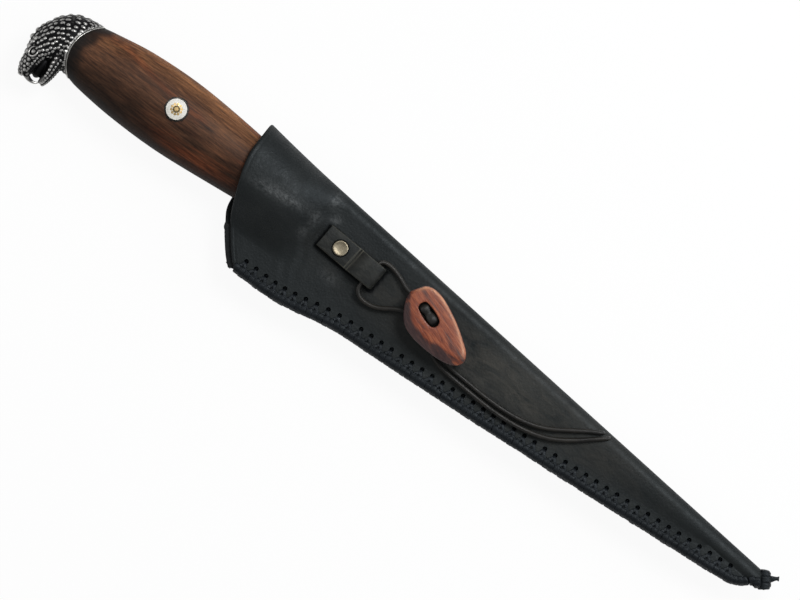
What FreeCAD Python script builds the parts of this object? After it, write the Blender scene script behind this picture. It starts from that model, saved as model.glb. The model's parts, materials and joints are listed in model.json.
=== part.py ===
"""Sheathed fixed-blade knife: snake-head pommel, wood handle, mosaic pin, laced leather
sheath with a strap tab, a cord loop and a toggle on a doubled belt cord.

Frame: +X from pommel to sheath tip (the draw axis), +Y towards the spine fold, +Z up from
the back of the sheath, which rests on Z = 0. Everything is drawn about the knife's
mid-plane (z = 0 while drawing) and moved into the frame at the end. Millimetres.
"""

import FreeCAD
import Part
import math
import os

V = FreeCAD.Vector
UP = V(0, 0, 1)

SIZES = [
    # alias, value, what it is
    ("guard_x", -57.0, "front face of the bolster, where the blade starts"),
    ("blade_length", 227.0, "blade from bolster to tip"),
    ("blade_height", 35.0, "blade height at the heel"),
    ("blade_thick", 3.5, "blade thickness at the spine by the bolster"),
    ("tip_thick", 1.6, "blade thickness at the spine by the tip"),
    ("edge_thick", 0.5, "blade thickness along the cutting edge"),
    ("heel_setback", 7.0, "bolster to heel"),
    ("choil_height", 15.0, "blade height between bolster and heel"),
    ("spine_y", 25.49, "outer spine fold of the sheath at the bolster"),
    ("spine_slope", 0.0985, "fall of the spine line per mm towards the tip"),
    ("mouth_flare", 0.7, "how far the fold flares at the mouth"),
    ("bolster_length", 5.0, "bolster along the handle"),
    ("bolster_height", 21.0, "bolster height at the blade"),
    ("bolster_thick", 13.0, "bolster thickness at the blade"),
    ("handle_length", 106.0, "wood along the bottom edge, bolster to collar"),
    ("handle_height", 33.0, "greatest height of the wood"),
    ("handle_thick", 23.6, "greatest thickness of the wood"),
    ("handle_axis_y", 8.7, "centre line of the handle"),
    ("dome_radius", 16.2, "plan radius of the domed butt of the wood"),
    ("dome_rise", 5.5, "rise of the dome past the edges of the collar"),
    ("collar_thick", 0.8, "collar plate"),
    ("collar_proud", 0.35, "collar standing proud of the wood"),
    ("tang_height", 17.0, "tang height"),
    ("tang_rise", 0.8, "tang centre above the handle's centre line"),
    ("tang_thick", 3.5, "tang thickness"),
    ("stud_dia", 5.0, "threaded end of the tang"),
    ("stud_length", 9.0, "stud inside the pommel"),
    ("bore_gap", 0.1, "clearance round tang and stud"),
    ("seat_gap", 0.04, "glue line between seated metal and wood"),
    ("head_thick", 21.0, "thickness of the snake head"),
    ("pin_back", 66.9, "mosaic pin behind the bolster"),
    ("pin_dia", 9.8, "mosaic pin tube, outer"),
    ("pin_wall", 0.55, "wall of the mosaic pin tube"),
    ("petal_count", 10, "small rods in the mosaic pin"),
    ("petal_dia", 1.15, "small rods in the mosaic pin"),
    ("petal_circle", 4.2, "circle that the small rods stand on"),
    ("pin_ring_dia", 3.0, "inner ring of the mosaic pin, outer"),
    ("pin_core_dia", 1.7, "centre rod of the mosaic pin"),
    ("leather", 2.2, "sheath leather"),
    ("welt_thick", 2.5, "gap between the two panels at the laced edge"),
    ("welt_play", 0.05, "welt to each panel"),
    ("fit_gap", 0.5, "sheath to handle and blade, each side"),
    ("fold_room", 1.6, "blade spine to the inside of the fold"),
    ("fold_round", 2.2, "rounding of the fold on its inside"),
    ("edge_room", 1.0, "blade edge to the welt"),
    ("lace_margin", 9.1, "blade edge to the leather edge"),
    ("heel_margin", 4.4, "extra margin below the heel"),
    ("tip_margin", 10.5, "blade tip to the end of the leather"),
    ("cover", 32.4, "sheath past the bolster at the fold"),
    ("welt_step", 2.7, "welt and back panel past the front panel at the mouth"),
    ("rest_depth", 0.6, "leather flattened where the back rests"),
    ("lace_pitch", 5.0, "hole to hole along the laced edge"),
    ("hole_dia", 2.0, "lacing hole"),
    ("hole_inset", 5.6, "hole to the leather edge"),
    ("lace_wide", 1.5, "lace width"),
    ("lace_thick", 0.9, "lace thickness"),
    ("lace_play", 0.12, "lace to leather"),
    ("tail_dia", 2.0, "end of the lace"),
    ("knot_dia", 8.2, "knot of the lace at the tip"),
    ("tab_x", -44.8, "start of the strap tab"),
    ("tab_y", 5.9, "middle of the strap tab at its start"),
    ("tab_length", 29.0, "strap tab"),
    ("tab_wide", 10.6, "strap tab width"),
    ("tab_leather", 1.5, "strap leather, one layer"),
    ("tab_angle", -3.5, "turn of the tab, degrees"),
    ("eye_room", 2.7, "height of the strap's eye"),
    ("eye_run", 14.0, "strap from its crease to its folded end"),
    ("rivet_run", 8.6, "rivet from the start of the tab"),
    ("rivet_dia", 6.6, "rivet cap"),
    ("rivet_rim", 0.8, "rivet cap thickness"),
    ("post_dia", 2.6, "rivet post"),
    ("keeper_x", 134.0, "start of the back keeper, by the tip"),
    ("keeper_y", 0.6, "middle of the back keeper"),
    ("keeper_length", 26.0, "back keeper"),
    ("keeper_wide", 8.6, "back keeper width"),
    ("keeper_rivet_run", 5.4, "rivet from the start of the back keeper"),
    ("cord_dia", 2.0, "round leather cord"),
    ("cord_play", 0.15, "belt cord to its holes through the fold, all round"),
    ("toggle_x", 9.0, "toggle slot centre"),
    ("toggle_y", 5.1, "toggle slot centre"),
    ("toggle_angle", -19.4, "turn of the toggle, degrees"),
    ("toggle_lift", 4.9, "toggle above the sheath leather"),
    ("toggle_thick", 7.6, "toggle thickness"),
    ("toggle_wide", 19.6, "toggle width"),
    ("toggle_length", 36.2, "toggle, blunt end to narrow end"),
    ("toggle_round", 2.2, "rounding of the toggle's upper edge"),
    ("toggle_chamfer", 0.8, "chamfer of the toggle's lower edge"),
    ("slot_length", 11.3, "slot in the toggle"),
    ("slot_wide", 5.4, "slot in the toggle"),
    ("slot_depth", 2.6, "slot in the toggle"),
    ("leg_spread", 6.8, "cord holes in the toggle, centre to centre"),
    ("hole_room", 0.3, "cord to its hole in the toggle, all round"),
]

# Wood outline: share of the handle length from the bolster, height, thickness, centre shift.
HANDLE = [(0.0, 0.66, 0.80, 0.5), (0.29, 0.864, 0.93, 0.5), (0.56, 0.995, 1.0, 0.15),
          (0.78, 0.964, 0.99, -0.3), (0.94, 0.839, 0.90, -0.9), (1.0, 0.76, 0.85, -0.9),
          (1.08, 0.64, 0.78, -0.9)]

# Snake head seen from the front, from the middle of the collar: back of the neck, crest,
# snout, roof of the mouth, mouth corner, lower jaw and throat.
HEAD_BACK = [(3.5, 12.3), (-2.6, 11.4), (-8.0, 9.6), (-12.4, 5.2), (-16.2, -1.8),
             (-17.4, -9.0), (-16.2, -16.5), (-13.0, -22.4)]
HEAD_ROOF = [(-9.2, -22.9), (-7.0, -18.0), (-7.2, -12.5), (-7.6, -8.6)]
HEAD_JAW = [(-5.0, -9.8), (-4.2, -14.2), (-3.4, -21.4), (-1.2, -21.2), (0.2, -15.8),
            (1.2, -12.9), (5.0, -12.4)]

# Mouth edge of the front panel, from the fold: place past the bolster and height.
MOUTH = [(-32.4, 15.4), (-30.9, 8.5), (-28.7, 2.2), (-24.7, -8.0), (-20.8, -14.4),
         (-16.6, -20.0), (-12.8, -24.4), (-9.4, -27.5)]

# Cord centre lines, chosen by hand, heights from the mid-plane of the knife for a panel
# whose outside is at DRAWN_TOP.
DRAWN_TOP = 4.5
LOOP_CORD = [(15.6, 3.6, 8.05), (14.2, 8.0, 8.05), (8.8, 9.6, 8.05), (2.6, 8.2, 8.05),
             (-3.6, 7.6, 7.4), (-9.2, 10.3, 6.4), (-15.4, 12.0, 6.3), (-20.0, 11.0, 7.3),
             (-20.0, 6.0, 7.4), (-20.6, 1.5, 7.4), (-21.0, -4.6, 7.3), (-16.4, -6.8, 6.3),
             (-9.6, -5.6, 6.3), (-3.4, -1.0, 7.2), (2.6, 1.4, 8.05), (9.0, 0.0, 8.05),
             (14.6, -1.2, 8.05)]
BELT_CORD = [(5.8, 6.2, 9.0), (5.8, 6.0, 6.6), (7.6, 3.6, 5.7), (11.6, -1.0, 5.6),
             (17.4, -6.2, 5.6), (23.6, -9.2, 5.6), (30.7, -10.0, 5.6), (38.0, -10.4, 5.6),
             (47.0, -11.0, 5.6), (56.8, -11.0, 5.6), (65.0, -10.3, 5.6), (72.4, -8.8, 5.6),
             (80.2, -6.0, 5.7), (88.4, -0.4, 5.7), (94.6, 5.0, 5.7), (98.6, 8.4, 5.4),
             (98.8, 8.4, -5.4), (103.0, 8.0, -5.9), (107.0, 7.8, -5.9), (110.6, 7.0, -7.1),
             (110.9, 2.0, -7.2), (111.0, -5.8, -7.1), (105.6, -7.0, -5.9), (101.6, -1.6, -5.8),
             (98.4, 4.0, -5.9), (95.8, 8.7, -5.4), (95.6, 8.7, 5.4), (91.4, 6.4, 5.7),
             (83.8, 1.4, 5.7), (75.6, -4.0, 5.6), (67.0, -7.0, 5.6), (57.0, -8.3, 5.6),
             (46.6, -8.4, 5.6), (37.4, -7.8, 5.6), (28.4, -7.4, 5.6), (20.6, -4.4, 5.6),
             (15.0, 0.4, 5.7), (12.2, 3.6, 6.8), (12.2, 4.0, 9.0)]
FOLD_PASSES = [(13, 19), (23, 29)]  # runs of the belt cord's points that go through the fold

# The lace's end, from the blade's tip and the leather edge below it.
LACE_TAIL = [(14.8, 9.6, 0.0), (16.6, 11.2, 0.1), (18.0, 12.4, 0.1), (19.0, 13.0, 0.0)]

# Plan of the toggle from the middle of its slot: shares of its length and of its width.
TOGGLE = [(-0.334, 0.010), (-0.298, 0.250), (-0.210, 0.388), (-0.066, 0.439),
          (0.110, 0.418), (0.282, 0.367), (0.442, 0.291), (0.580, 0.204), (0.657, 0.082),
          (0.663, -0.071), (0.608, -0.219), (0.508, -0.337), (0.365, -0.444),
          (0.221, -0.520), (0.083, -0.561), (-0.055, -0.541), (-0.182, -0.413),
          (-0.285, -0.219)]

doc = FreeCAD.newDocument("sheathed_knife")
sheet = doc.addObject("Spreadsheet::Sheet", "Sizes")
for row, (alias, value, words) in enumerate(SIZES, 1):
    sheet.set(f"A{row}", words)
    sheet.set(f"B{row}", str(value))
    sheet.setAlias(f"B{row}", alias)
doc.recompute()


def size(alias):
    return float(getattr(sheet, alias))


GUARD, LEATHER, WELT = size("guard_x"), size("leather"), size("welt_thick") / 2
CORD = size("cord_dia") / 2
NODES = []


def node(obj, label):
    """Names an object as one sub-part."""
    obj.Label = label
    NODES.append(obj)
    return obj


def feature(label, shape):
    """A sub-part whose shape is made with Part's own functions."""
    obj = doc.addObject("Part::Feature", label)
    obj.Shape = shape
    return node(obj, label)


def primitive(kind, name, place=None, **bound):
    """A Part primitive with its sizes bound to the sheet."""
    obj = doc.addObject(kind, name)
    for prop, expression in bound.items():
        obj.setExpression(prop, expression)
    if place:
        obj.Placement = place
    return obj


def spline(points):
    curve = Part.BSplineCurve()
    curve.interpolate([V(*p) for p in points])
    return curve.toShape()


def polygon(points):
    return Part.makePolygon([V(*p) for p in points] + [V(*points[0])])


def prism(wire, low, high):
    """A flat wire in the XY plane, extruded between two heights."""
    face = Part.Face(wire)
    face.translate(V(0, 0, low))
    return face.extrude(V(0, 0, high - low))


def smooth(a, b, x):
    """0 before a, 1 after b, an S curve between."""
    share = min(1.0, max(0.0, (x - a) / (b - a)))
    return share * share * (3 - 2 * share)


# --- lines that the knife and the sheath share ------------------------------------------

TIP = GUARD + size("blade_length")
HEEL = GUARD + size("heel_setback")
MOUTH_X = GUARD - size("cover")


def fold_y(x):
    """Outside of the spine fold."""
    flare = max(0.0, (GUARD + 7 - x) / size("cover"))
    return size("spine_y") - size("spine_slope") * (x - GUARD) + size("mouth_flare") * flare ** 2


def blade_spine(x):
    return size("spine_y") - size("spine_slope") * (x - GUARD) - LEATHER - size("fold_room")


def blade_edge(x):
    """Cutting edge, from the heel to the tip; straight behind the heel."""
    share = min(1.0, max(0.0, (x - HEEL) / (TIP - HEEL)))
    return blade_spine(max(x, HEEL)) - size("blade_height") * (1 - share ** 1.12)


def welt_inner(x):
    return blade_edge(min(x, TIP)) - size("edge_room")


def leather_edge(x):
    margin = size("lace_margin") + size("heel_margin") * (1 - smooth(HEEL - 2, HEEL + 36, x))
    return blade_edge(x) - margin


# --- sheath -----------------------------------------------------------------------------

HANDLE_ROOM = size("handle_thick") / 2 + size("fit_gap")
BLADE_ROOM = size("blade_thick") / 2 + size("fit_gap")


def room(x):
    """Half thickness of the cavity at its crown."""
    falling = smooth(GUARD - 9, GUARD + 12, x)
    thin = 0.5 * smooth(TIP - 60, TIP, x)
    return HANDLE_ROOM + (BLADE_ROOM - HANDLE_ROOM) * falling - thin


def crown_y(x):
    handle = size("handle_axis_y") + 0.5
    blade = fold_y(x) - LEATHER - size("fold_round")
    return handle + (blade - handle) * smooth(GUARD - 2, GUARD + 14, x)


def half_profile(x):
    """Inside of one panel from the fold down to the welt: (y, z) points."""
    top, crown, tall = fold_y(x) - LEATHER, crown_y(x), room(x)
    low = min(welt_inner(x), crown - 2.5)
    points = [(top, 0.0)]
    for angle in (12, 28, 46, 66):
        a = math.radians(angle)
        points.append((crown + (top - crown) * math.cos(a), tall * math.sin(a)))
    for share in (0.0, 0.2, 0.4, 0.6, 0.8, 1.0):
        fall = (1 + math.cos(math.pi * share ** 1.2)) / 2
        points.append((crown - share * (crown - low), WELT + (tall - WELT) * fall))
    return points


def offset(points, distance):
    """The same points moved out along the normal of the profile."""
    out = []
    for i, (y, z) in enumerate(points):
        if i == 0:
            out.append((y + distance, 0.0))
            continue
        y0, z0 = points[i - 1]
        y1, z1 = points[min(i + 1, len(points) - 1)]
        length = math.hypot(y1 - y0, z1 - z0)
        if i == len(points) - 1:
            out.append((y, z + distance))
        else:
            out.append((y + (z1 - z0) / length * distance, z - (y1 - y0) / length * distance))
    return out


def section(x, points, low):
    """A closed YZ section: fold, two panel curves and the flat laced margin."""
    y_end, z_end = points[-1]
    upper = spline([(x, y, z) for y, z in points])
    lower = spline([(x, y, -z) for y, z in reversed(points)])
    a, b = V(x, y_end, z_end), V(x, low, z_end)
    c, d = V(x, low, -z_end), V(x, y_end, -z_end)
    return Part.Wire([upper, Part.makeLine(a, b), Part.makeLine(b, c), Part.makeLine(c, d), lower])


def stations():
    """Where the sheath's sections stand: close together where the bulge falls away."""
    near = [MOUTH_X - 8, GUARD - 30, GUARD - 20] + [GUARD - 10 + 2 * k for k in range(14)]
    reach = TIP + size("tip_margin") + 4 - near[-1]
    return near + [near[-1] + reach * k / 8 for k in range(1, 9)]


def plan_wire(step):
    """Outline of a panel from the front; step moves its lower mouth edge outwards."""
    far = fold_y(MOUTH_X) + 15
    mouth = []
    for i, (dx, y) in enumerate(MOUTH):
        shift = step * smooth(0, 3, i)
        mouth.append((GUARD + dx - 0.85 * shift, y - 0.35 * shift, 0))
    end = TIP + size("tip_margin")
    start = mouth[-1][0]
    edge = [mouth[-1]]
    x = start + 2.4
    while x < TIP - 3:
        edge.append((x, leather_edge(x), 0))
        x += size("lace_pitch")
    edge.append((TIP + 1, leather_edge(TIP - 2) + 0.6, 0))
    corner = (end, leather_edge(TIP) + 6.5, 0)
    top = [corner, (end, far, 0), (MOUTH_X, far, 0), mouth[0]]
    lines = [Part.makeLine(V(*a), V(*b)) for a, b in zip(top, top[1:])]
    tip = spline([edge[-1], (end - 4.4, leather_edge(TIP) + 2.6, 0), corner])
    return Part.Wire(Part.__sortEdges__([spline(mouth), spline(edge), tip] + lines))


def edge_places():
    """Lacing holes: place on the leather edge and the direction along it."""
    places, x = [], GUARD - 7.0
    while x < TIP + 2:
        slope = leather_edge(x + 0.5) - leather_edge(x - 0.5)
        along = V(1, slope, 0).normalize()
        places.append((V(x, leather_edge(x), 0), along))
        x += size("lace_pitch") * along.x
    return places


def holes_through(shape):
    """The shape with every lacing hole punched through it."""
    inset, cutters = size("hole_inset"), []
    for at, along in edge_places():
        centre = at + V(-along.y, along.x, 0) * inset
        cutters.append(Part.makeCylinder(size("hole_dia") / 2, 12, centre - UP * 6, UP))
    return shape.cut(cutters)


REST = HANDLE_ROOM + LEATHER - size("rest_depth")


def tab_frame():
    turn = FreeCAD.Rotation(UP, size("tab_angle"))
    return FreeCAD.Placement(V(size("tab_x"), size("tab_y"), PANEL_TOP), turn)


def keeper_frame():
    turn = FreeCAD.Rotation(V(0, 1, 0), 180)
    return FreeCAD.Placement(V(size("keeper_x"), size("keeper_y"), -PANEL_TOP), turn)


PANEL_TOP = BLADE_ROOM + LEATHER + 0.05


def rivet_spots():
    """Each strap's rivet, on the outside of its panel, with the way out of the leather."""
    tab_run, keeper_run = V(size("rivet_run"), 0, 0), V(size("keeper_rivet_run"), 0, 0)
    return [(tab_frame().multVec(tab_run), UP), (keeper_frame().multVec(keeper_run), -UP)]


def sheath_shell():
    outer = Part.makeLoft([section(x, offset(half_profile(x), LEATHER), leather_edge(x) - 6)
                           for x in stations()], True, True)
    cavity = Part.makeLoft([section(x, half_profile(x), leather_edge(x) - 12)
                            for x in stations()], True, True)
    shell = outer.common(prism(plan_wire(size("welt_step")), -40, 40))
    front = prism(plan_wire(size("welt_step")), 0, 40).cut(prism(plan_wire(0.0), -1, 41))
    below_fold = Part.makeBox(60, 60, 60, V(MOUTH_X - 10, size("handle_axis_y") - 60 - 4, 0))
    shell = shell.cut(front.common(below_fold)).cut(cavity)
    shell = shell.cut(Part.makeBox(600, 200, 40, V(-300, -100, -REST - 40)))
    shell = holes_through(shell)
    for at, out in rivet_spots():
        inner = at - out * (PANEL_TOP - BLADE_ROOM + 0.6)
        post = Part.makeCylinder(size("post_dia") / 2 + 0.1, 6, at - out * 4.5, out)
        seat = Part.makeCylinder(size("rivet_dia") / 2 + 0.1, 0.6 + size("rivet_rim") + 0.15,
                                 inner, out)
        shell = shell.cut([post, seat])
    belt = over_leather(BELT_CORD)
    for first, last in FOLD_PASSES:
        shell = shell.cut(tube(belt[first:last], CORD + size("cord_play")))
    return feature("sheath_shell", shell)


def welt():
    past = [(x, welt_inner(x), 0) for x in
            (HEEL + (TIP - 1 - HEEL) * k / 6 for k in range(7))]
    inner = [(GUARD - 60, welt_inner(HEEL), 0), (HEEL, welt_inner(HEEL), 0)]
    tip = [past[-1], (TIP + 2, welt_inner(TIP) + 1.5, 0), (TIP + 2, 40, 0), (TIP + 60, 40, 0),
           (TIP + 60, -60, 0), (GUARD - 60, -60, 0), inner[0]]
    lines = [Part.makeLine(V(*a), V(*b)) for a, b in zip(tip, tip[1:])]
    lines.append(Part.makeLine(V(*inner[0]), V(*inner[1])))
    wire = Part.Wire(Part.__sortEdges__(lines + [spline(past)]))
    thick = WELT - size("welt_play")
    strip = prism(wire, -thick, thick)
    strip = strip.common(prism(plan_wire(size("welt_step")), -10, 10))
    below = Part.makeBox(800, 200, 40, V(-400, fold_y(TIP + 9) - LEATHER - 1.8 - 200, -20))
    return feature("welt", holes_through(strip.common(below)))


def lace_ring(at, along):
    """One flat lace loop: through the hole, over the leather edge and back."""
    out = V(along.y, -along.x, 0)
    play, thick = size("lace_play"), size("lace_thick")
    tall = WELT + LEATHER + play
    reach = size("hole_inset") + 0.55
    inner = [(-reach + thick, -tall), (play, -tall), (play, tall), (-reach + thick, tall)]
    outer = [(-reach, -tall - thick), (play + thick, -tall - thick),
             (play + thick, tall + thick), (-reach, tall + thick)]

    def ring(points):
        side = along * (-size("lace_wide") / 2)
        return Part.Face(polygon([tuple(at + side + out * a + UP * b) for a, b in points]))

    return ring(outer).cut(ring(inner)).extrude(along * size("lace_wide"))


def edge_lacing():
    rings = [lace_ring(at, along) for at, along in edge_places()]
    return feature("edge_lacing", Part.makeCompound(rings))


def tip_knot():
    at = V(TIP + size("tip_margin") + 3.2, leather_edge(TIP) + 9.8, 0)
    knot = Part.makeSphere(size("knot_dia") / 2, at)
    side = prism(plan_wire(size("welt_step")), -10, 10)
    end = leather_edge(TIP)
    tail = tube([(TIP + x, end + y, z) for x, y, z in LACE_TAIL], size("tail_dia") / 2)
    feature("tip_knot", knot.cut(side).cut(tail))
    feature("lace_tail", tail)


# --- straps and rivets ------------------------------------------------------------------

def strap(label, frame, length, wide):
    """A strap folded round a cord, both layers flat under the rivet, raised at its eye."""
    leather, eye = size("tab_leather"), size("eye_room")
    top = 2 * leather + eye
    flat = length - size("eye_run")
    crest = flat + 4.5
    slot = flat + 2.4
    bend = top / 2
    body = doc.addObject("PartDesign::Body", label)
    sketch = body.newObject("Sketcher::SketchObject", label + "_side")
    plane = [f for f in body.Origin.OriginFeatures if f.Role == "XZ_Plane"][0]
    sketch.AttachmentSupport = [(plane, "")]
    sketch.MapMode = "FlatFace"
    end = length - bend

    def line(a, b):
        sketch.addGeometry(Part.LineSegment(V(*a, 0), V(*b, 0)), False)

    line((0, 0), (end, 0))
    sketch.addGeometry(Part.Arc(V(end, 0, 0), V(length, bend, 0), V(end, top, 0)), False)
    line((end, top), (crest, top))
    line((crest, top), (flat, 2 * leather))
    line((flat, 2 * leather), (0, 2 * leather))
    line((0, 2 * leather), (0, 0))
    radius = eye / 2
    centre = end - 0.2
    line((slot, leather), (centre, leather))
    sketch.addGeometry(Part.Arc(V(centre, leather, 0), V(centre + radius, leather + radius, 0),
                                V(centre, leather + eye, 0)), False)
    line((centre, leather + eye), (crest + 0.8, leather + eye))
    line((crest + 0.8, leather + eye), (slot, leather))
    pad = body.newObject("PartDesign::Pad", label + "_width")
    pad.Profile = sketch
    pad.setExpression("Length", wide)
    pad.Midplane = True
    body.Placement = frame
    return node(body, label)


def rivet(names, spot):
    """Cap on the strap, post through it and the panel, washer sunk in the panel's inside."""
    at, out = spot
    turn = FreeCAD.Rotation(UP, out)
    strap_top = at + out * (2 * size("tab_leather"))
    post_low = -out * (PANEL_TOP - BLADE_ROOM - 0.1)
    cap = primitive("Part::Cylinder", names[0] + "_disc", FreeCAD.Placement(strap_top, turn),
                    Radius="Sizes.rivet_dia / 2", Height="Sizes.rivet_rim")
    edge = doc.addObject("Part::Fillet", names[0])
    doc.recompute()
    top = [i + 1 for i, e in enumerate(cap.Shape.Edges)
           if e.Closed and abs((e.CenterOfMass - strap_top).dot(out) - size("rivet_rim")) < 0.01]
    edge.Base = cap
    edge.Edges = [(i, 0.35, 0.35) for i in top]
    node(edge, names[0])
    washer = primitive("Part::Cylinder", names[2], FreeCAD.Placement(at + post_low, turn),
                       Radius="Sizes.rivet_dia / 2", Height="Sizes.rivet_rim")
    node(washer, names[2])
    reach = (strap_top - at - post_low).Length - size("rivet_rim")
    start = at + post_low + out * size("rivet_rim")
    post = Part.makeCylinder(size("post_dia") / 2, reach, start, out)
    feature(names[1], post)


def punch(body, spot):
    """The rivet's hole through both layers of a strap."""
    hole = primitive("Part::Cylinder", body.Label + "_punch", None,
                     Radius="Sizes.post_dia / 2 + 0.05")
    hole.Height = 20
    hole.Placement = FreeCAD.Placement(spot[0] - UP * 10, FreeCAD.Rotation())
    cut = doc.addObject("Part::Cut", body.Label + "_punched")
    cut.Base, cut.Tool = body, hole
    label = body.Label
    body.Label = label + "_blank"
    NODES.remove(body)
    node(cut, label)


# --- knife ------------------------------------------------------------------------------

def blade():
    xs = [HEEL + (TIP - HEEL) * k for k in (0, 0.15, 0.35, 0.55, 0.75, 0.9, 0.97, 0.998)]
    thin = (size("blade_thick") - size("tip_thick")) / 2
    wires = []
    for x in xs:
        half = size("blade_thick") / 2 - thin * (x - GUARD) / (TIP - GUARD)
        top, low, edge = blade_spine(x), blade_edge(x), size("edge_thick") / 2
        wires.append(polygon([(x, top - 0.4, half), (x, top, half - 0.35), (x, top, 0.35 - half),
                              (x, top - 0.4, -half), (x, low, -edge), (x, low, edge)]))
    shape = Part.makeLoft(wires, True, True)
    half = size("blade_thick") / 2
    top, low = blade_spine(HEEL), blade_spine(GUARD) - 3 - size("choil_height")
    neck = prism(polygon([(GUARD, blade_spine(GUARD) - 3, 0), (HEEL + 2, top - 3, 0),
                          (HEEL + 2, low, 0), (GUARD, low, 0)]), -half + 0.2, half - 0.2)
    axis = size("handle_axis_y")
    centre, high, back = axis + size("tang_rise"), size("tang_height") / 2, collar_x() + 12
    tang = Part.makeBox(GUARD - back + 1, 2 * high, size("tang_thick"),
                        V(back, centre - high, -size("tang_thick") / 2))
    stud = Part.makeCylinder(size("stud_dia") / 2, back - stud_end() + 1, V(stud_end(), axis, 0),
                             V(1, 0, 0))
    hole = Part.makeCylinder(size("pin_dia") / 2 + size("bore_gap"), 20, pin_spot() - UP * 10, UP)
    return feature("blade", shape.fuse([neck, tang, stud]).removeSplitter().cut(hole))


def collar_x():
    """Top of the dome, where the collar starts."""
    return GUARD - size("bolster_length") - size("handle_length") - size("dome_rise")


def stud_end():
    return collar_x() - size("collar_thick") - size("stud_length")


def oval(x, y, high, thick):
    """An upright ellipse across the handle."""
    across = high >= thick
    curve = Part.Ellipse(V(0, 0, 0), max(high, thick) / 2, min(high, thick) / 2)
    edge = curve.toShape()
    edge.Placement = FreeCAD.Placement(V(x, y, 0), FreeCAD.Rotation(V(0, 1, 0), V(0, 0, 1), V(1, 0, 0))
                                       if across else FreeCAD.Rotation(V(0, 0, 1), V(0, 1, 0), V(-1, 0, 0)))
    return Part.Wire([edge])


def wood_blank(proud=0.0):
    """The handle before its butt is domed."""
    start, axis = GUARD - size("bolster_length"), size("handle_axis_y")
    high, thick = size("handle_height"), size("handle_thick")
    return Part.makeLoft([oval(start - share * size("handle_length"), axis + shift,
                               high * tall + 2 * proud, thick * wide + 2 * proud)
                          for share, tall, wide, shift in HANDLE], True, False)


def dome(radius):
    """Upright cylinder that rounds the butt in plan."""
    centre = V(collar_x() + size("dome_radius"), size("handle_axis_y") - 0.9, -30)
    return Part.makeCylinder(radius, 60, centre, UP)


def pin_spot():
    return V(GUARD - size("pin_back"), size("handle_axis_y") + 2.5, 0)


def handle_wood():
    front = Part.makeBox(200, 200, 60, V(collar_x() + 12, -100, -30))
    keep = dome(size("dome_radius") - size("seat_gap")).fuse(front)
    axis, gap = size("handle_axis_y"), size("bore_gap")
    high, thick = size("tang_height") + 2 * gap, size("tang_thick") + 2 * gap
    centre = axis + size("tang_rise")
    slot = Part.makeBox(200, high, thick, V(collar_x() + 12 - gap, centre - high / 2, -thick / 2))
    bore = Part.makeCylinder(size("stud_dia") / 2 + gap, 60, V(collar_x() - 20, axis, 0), V(1, 0, 0))
    pin = Part.makeCylinder(size("pin_dia") / 2 + size("seat_gap"), 60, pin_spot() - UP * 30, UP)
    return feature("handle_wood", wood_blank().common(keep).cut([slot, bore, pin]))


def bolster():
    start, axis = GUARD - size("bolster_length"), size("handle_axis_y")
    share, tall, wide, shift = HANDLE[0]
    back = oval(start, axis + shift, size("handle_height") * tall, size("handle_thick") * wide)
    front = oval(GUARD, axis + shift, size("bolster_height"), size("bolster_thick"))
    gap = size("bore_gap")
    high, thick = size("tang_height") + 2 * gap, size("tang_thick") + 2 * gap
    low = axis + size("tang_rise") - high / 2
    slot = Part.makeBox(40, high, thick, V(start - 10, low, -thick / 2))
    return feature("bolster", Part.makeLoft([back, front], True, True).cut(slot))


def collar_ring():
    outer, inner = dome(size("dome_radius") + size("collar_thick")), dome(size("dome_radius"))
    blank = wood_blank(size("collar_proud"))
    behind = Part.makeBox(100, 200, 60, V(collar_x() - 80, -100, -30))
    bore = Part.makeCylinder(size("stud_dia") / 2 + size("bore_gap"), 60,
                             V(collar_x() - 20, size("handle_axis_y"), 0), V(1, 0, 0))
    plate = outer.cut(inner).common(blank)
    half = Part.makeBox(20, 200, 60, V(collar_x() - 8, -100, -30))
    return feature("collar_ring", plate.common(half).cut(bore))


def snake_head_pommel():
    x0 = collar_x() + 1.2
    y0 = size("handle_axis_y") - 0.9

    def put(points):
        return [(x0 + dx, y0 + dy, 0) for dx, dy in points]

    back, roof, jaw = put(HEAD_BACK), put(HEAD_ROOF), put(HEAD_JAW)
    wires = [spline(back), Part.makeLine(V(*back[-1]), V(*roof[0])), spline(roof),
             Part.makeLine(V(*roof[-1]), V(*jaw[0])), spline(jaw),
             Part.makeLine(V(*jaw[-1]), V(*back[0]))]
    thick = size("head_thick")
    plan = prism(Part.Wire(Part.__sortEdges__(wires)), -thick, thick)
    ball = Part.makeSphere(1.0)
    grow = FreeCAD.Matrix()
    grow.scale(24.0, 29.0, thick / 2)
    lens = ball.transformGeometry(grow).translated(V(x0 - 1.0, y0 - 4.0, 0))
    head = plan.common(lens)
    for side in (1, -1):
        root = V(x0 - 8.6, y0 - 21.0, side * 3.6)
        head = head.fuse(Part.makeCone(1.3, 0.25, 5.6, root, V(1, 0.1, 0)))
        head = head.fuse(Part.makeSphere(2.2, V(x0 - 12.6, y0 - 10.6, side * (thick / 2 - 3.4))))
    stud = Part.makeCylinder(size("stud_dia") / 2 + size("bore_gap"),
                             size("stud_length") + size("bore_gap") + 20,
                             V(stud_end() - size("bore_gap"), size("handle_axis_y"), 0), V(1, 0, 0))
    inner = dome(size("dome_radius") + size("collar_thick") + size("seat_gap"))
    return feature("snake_head_pommel", head.cut([inner, stud]))


# --- mosaic pin -------------------------------------------------------------------------

def rod(diameter, at=V(0, 0, 0)):
    """A rod of the pin, its ends flush with the wood."""
    half = size("handle_thick")
    full = Part.makeCylinder(diameter / 2, 2 * half, pin_spot() + at - UP * half, UP)
    return full.common(wood_blank())


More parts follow.
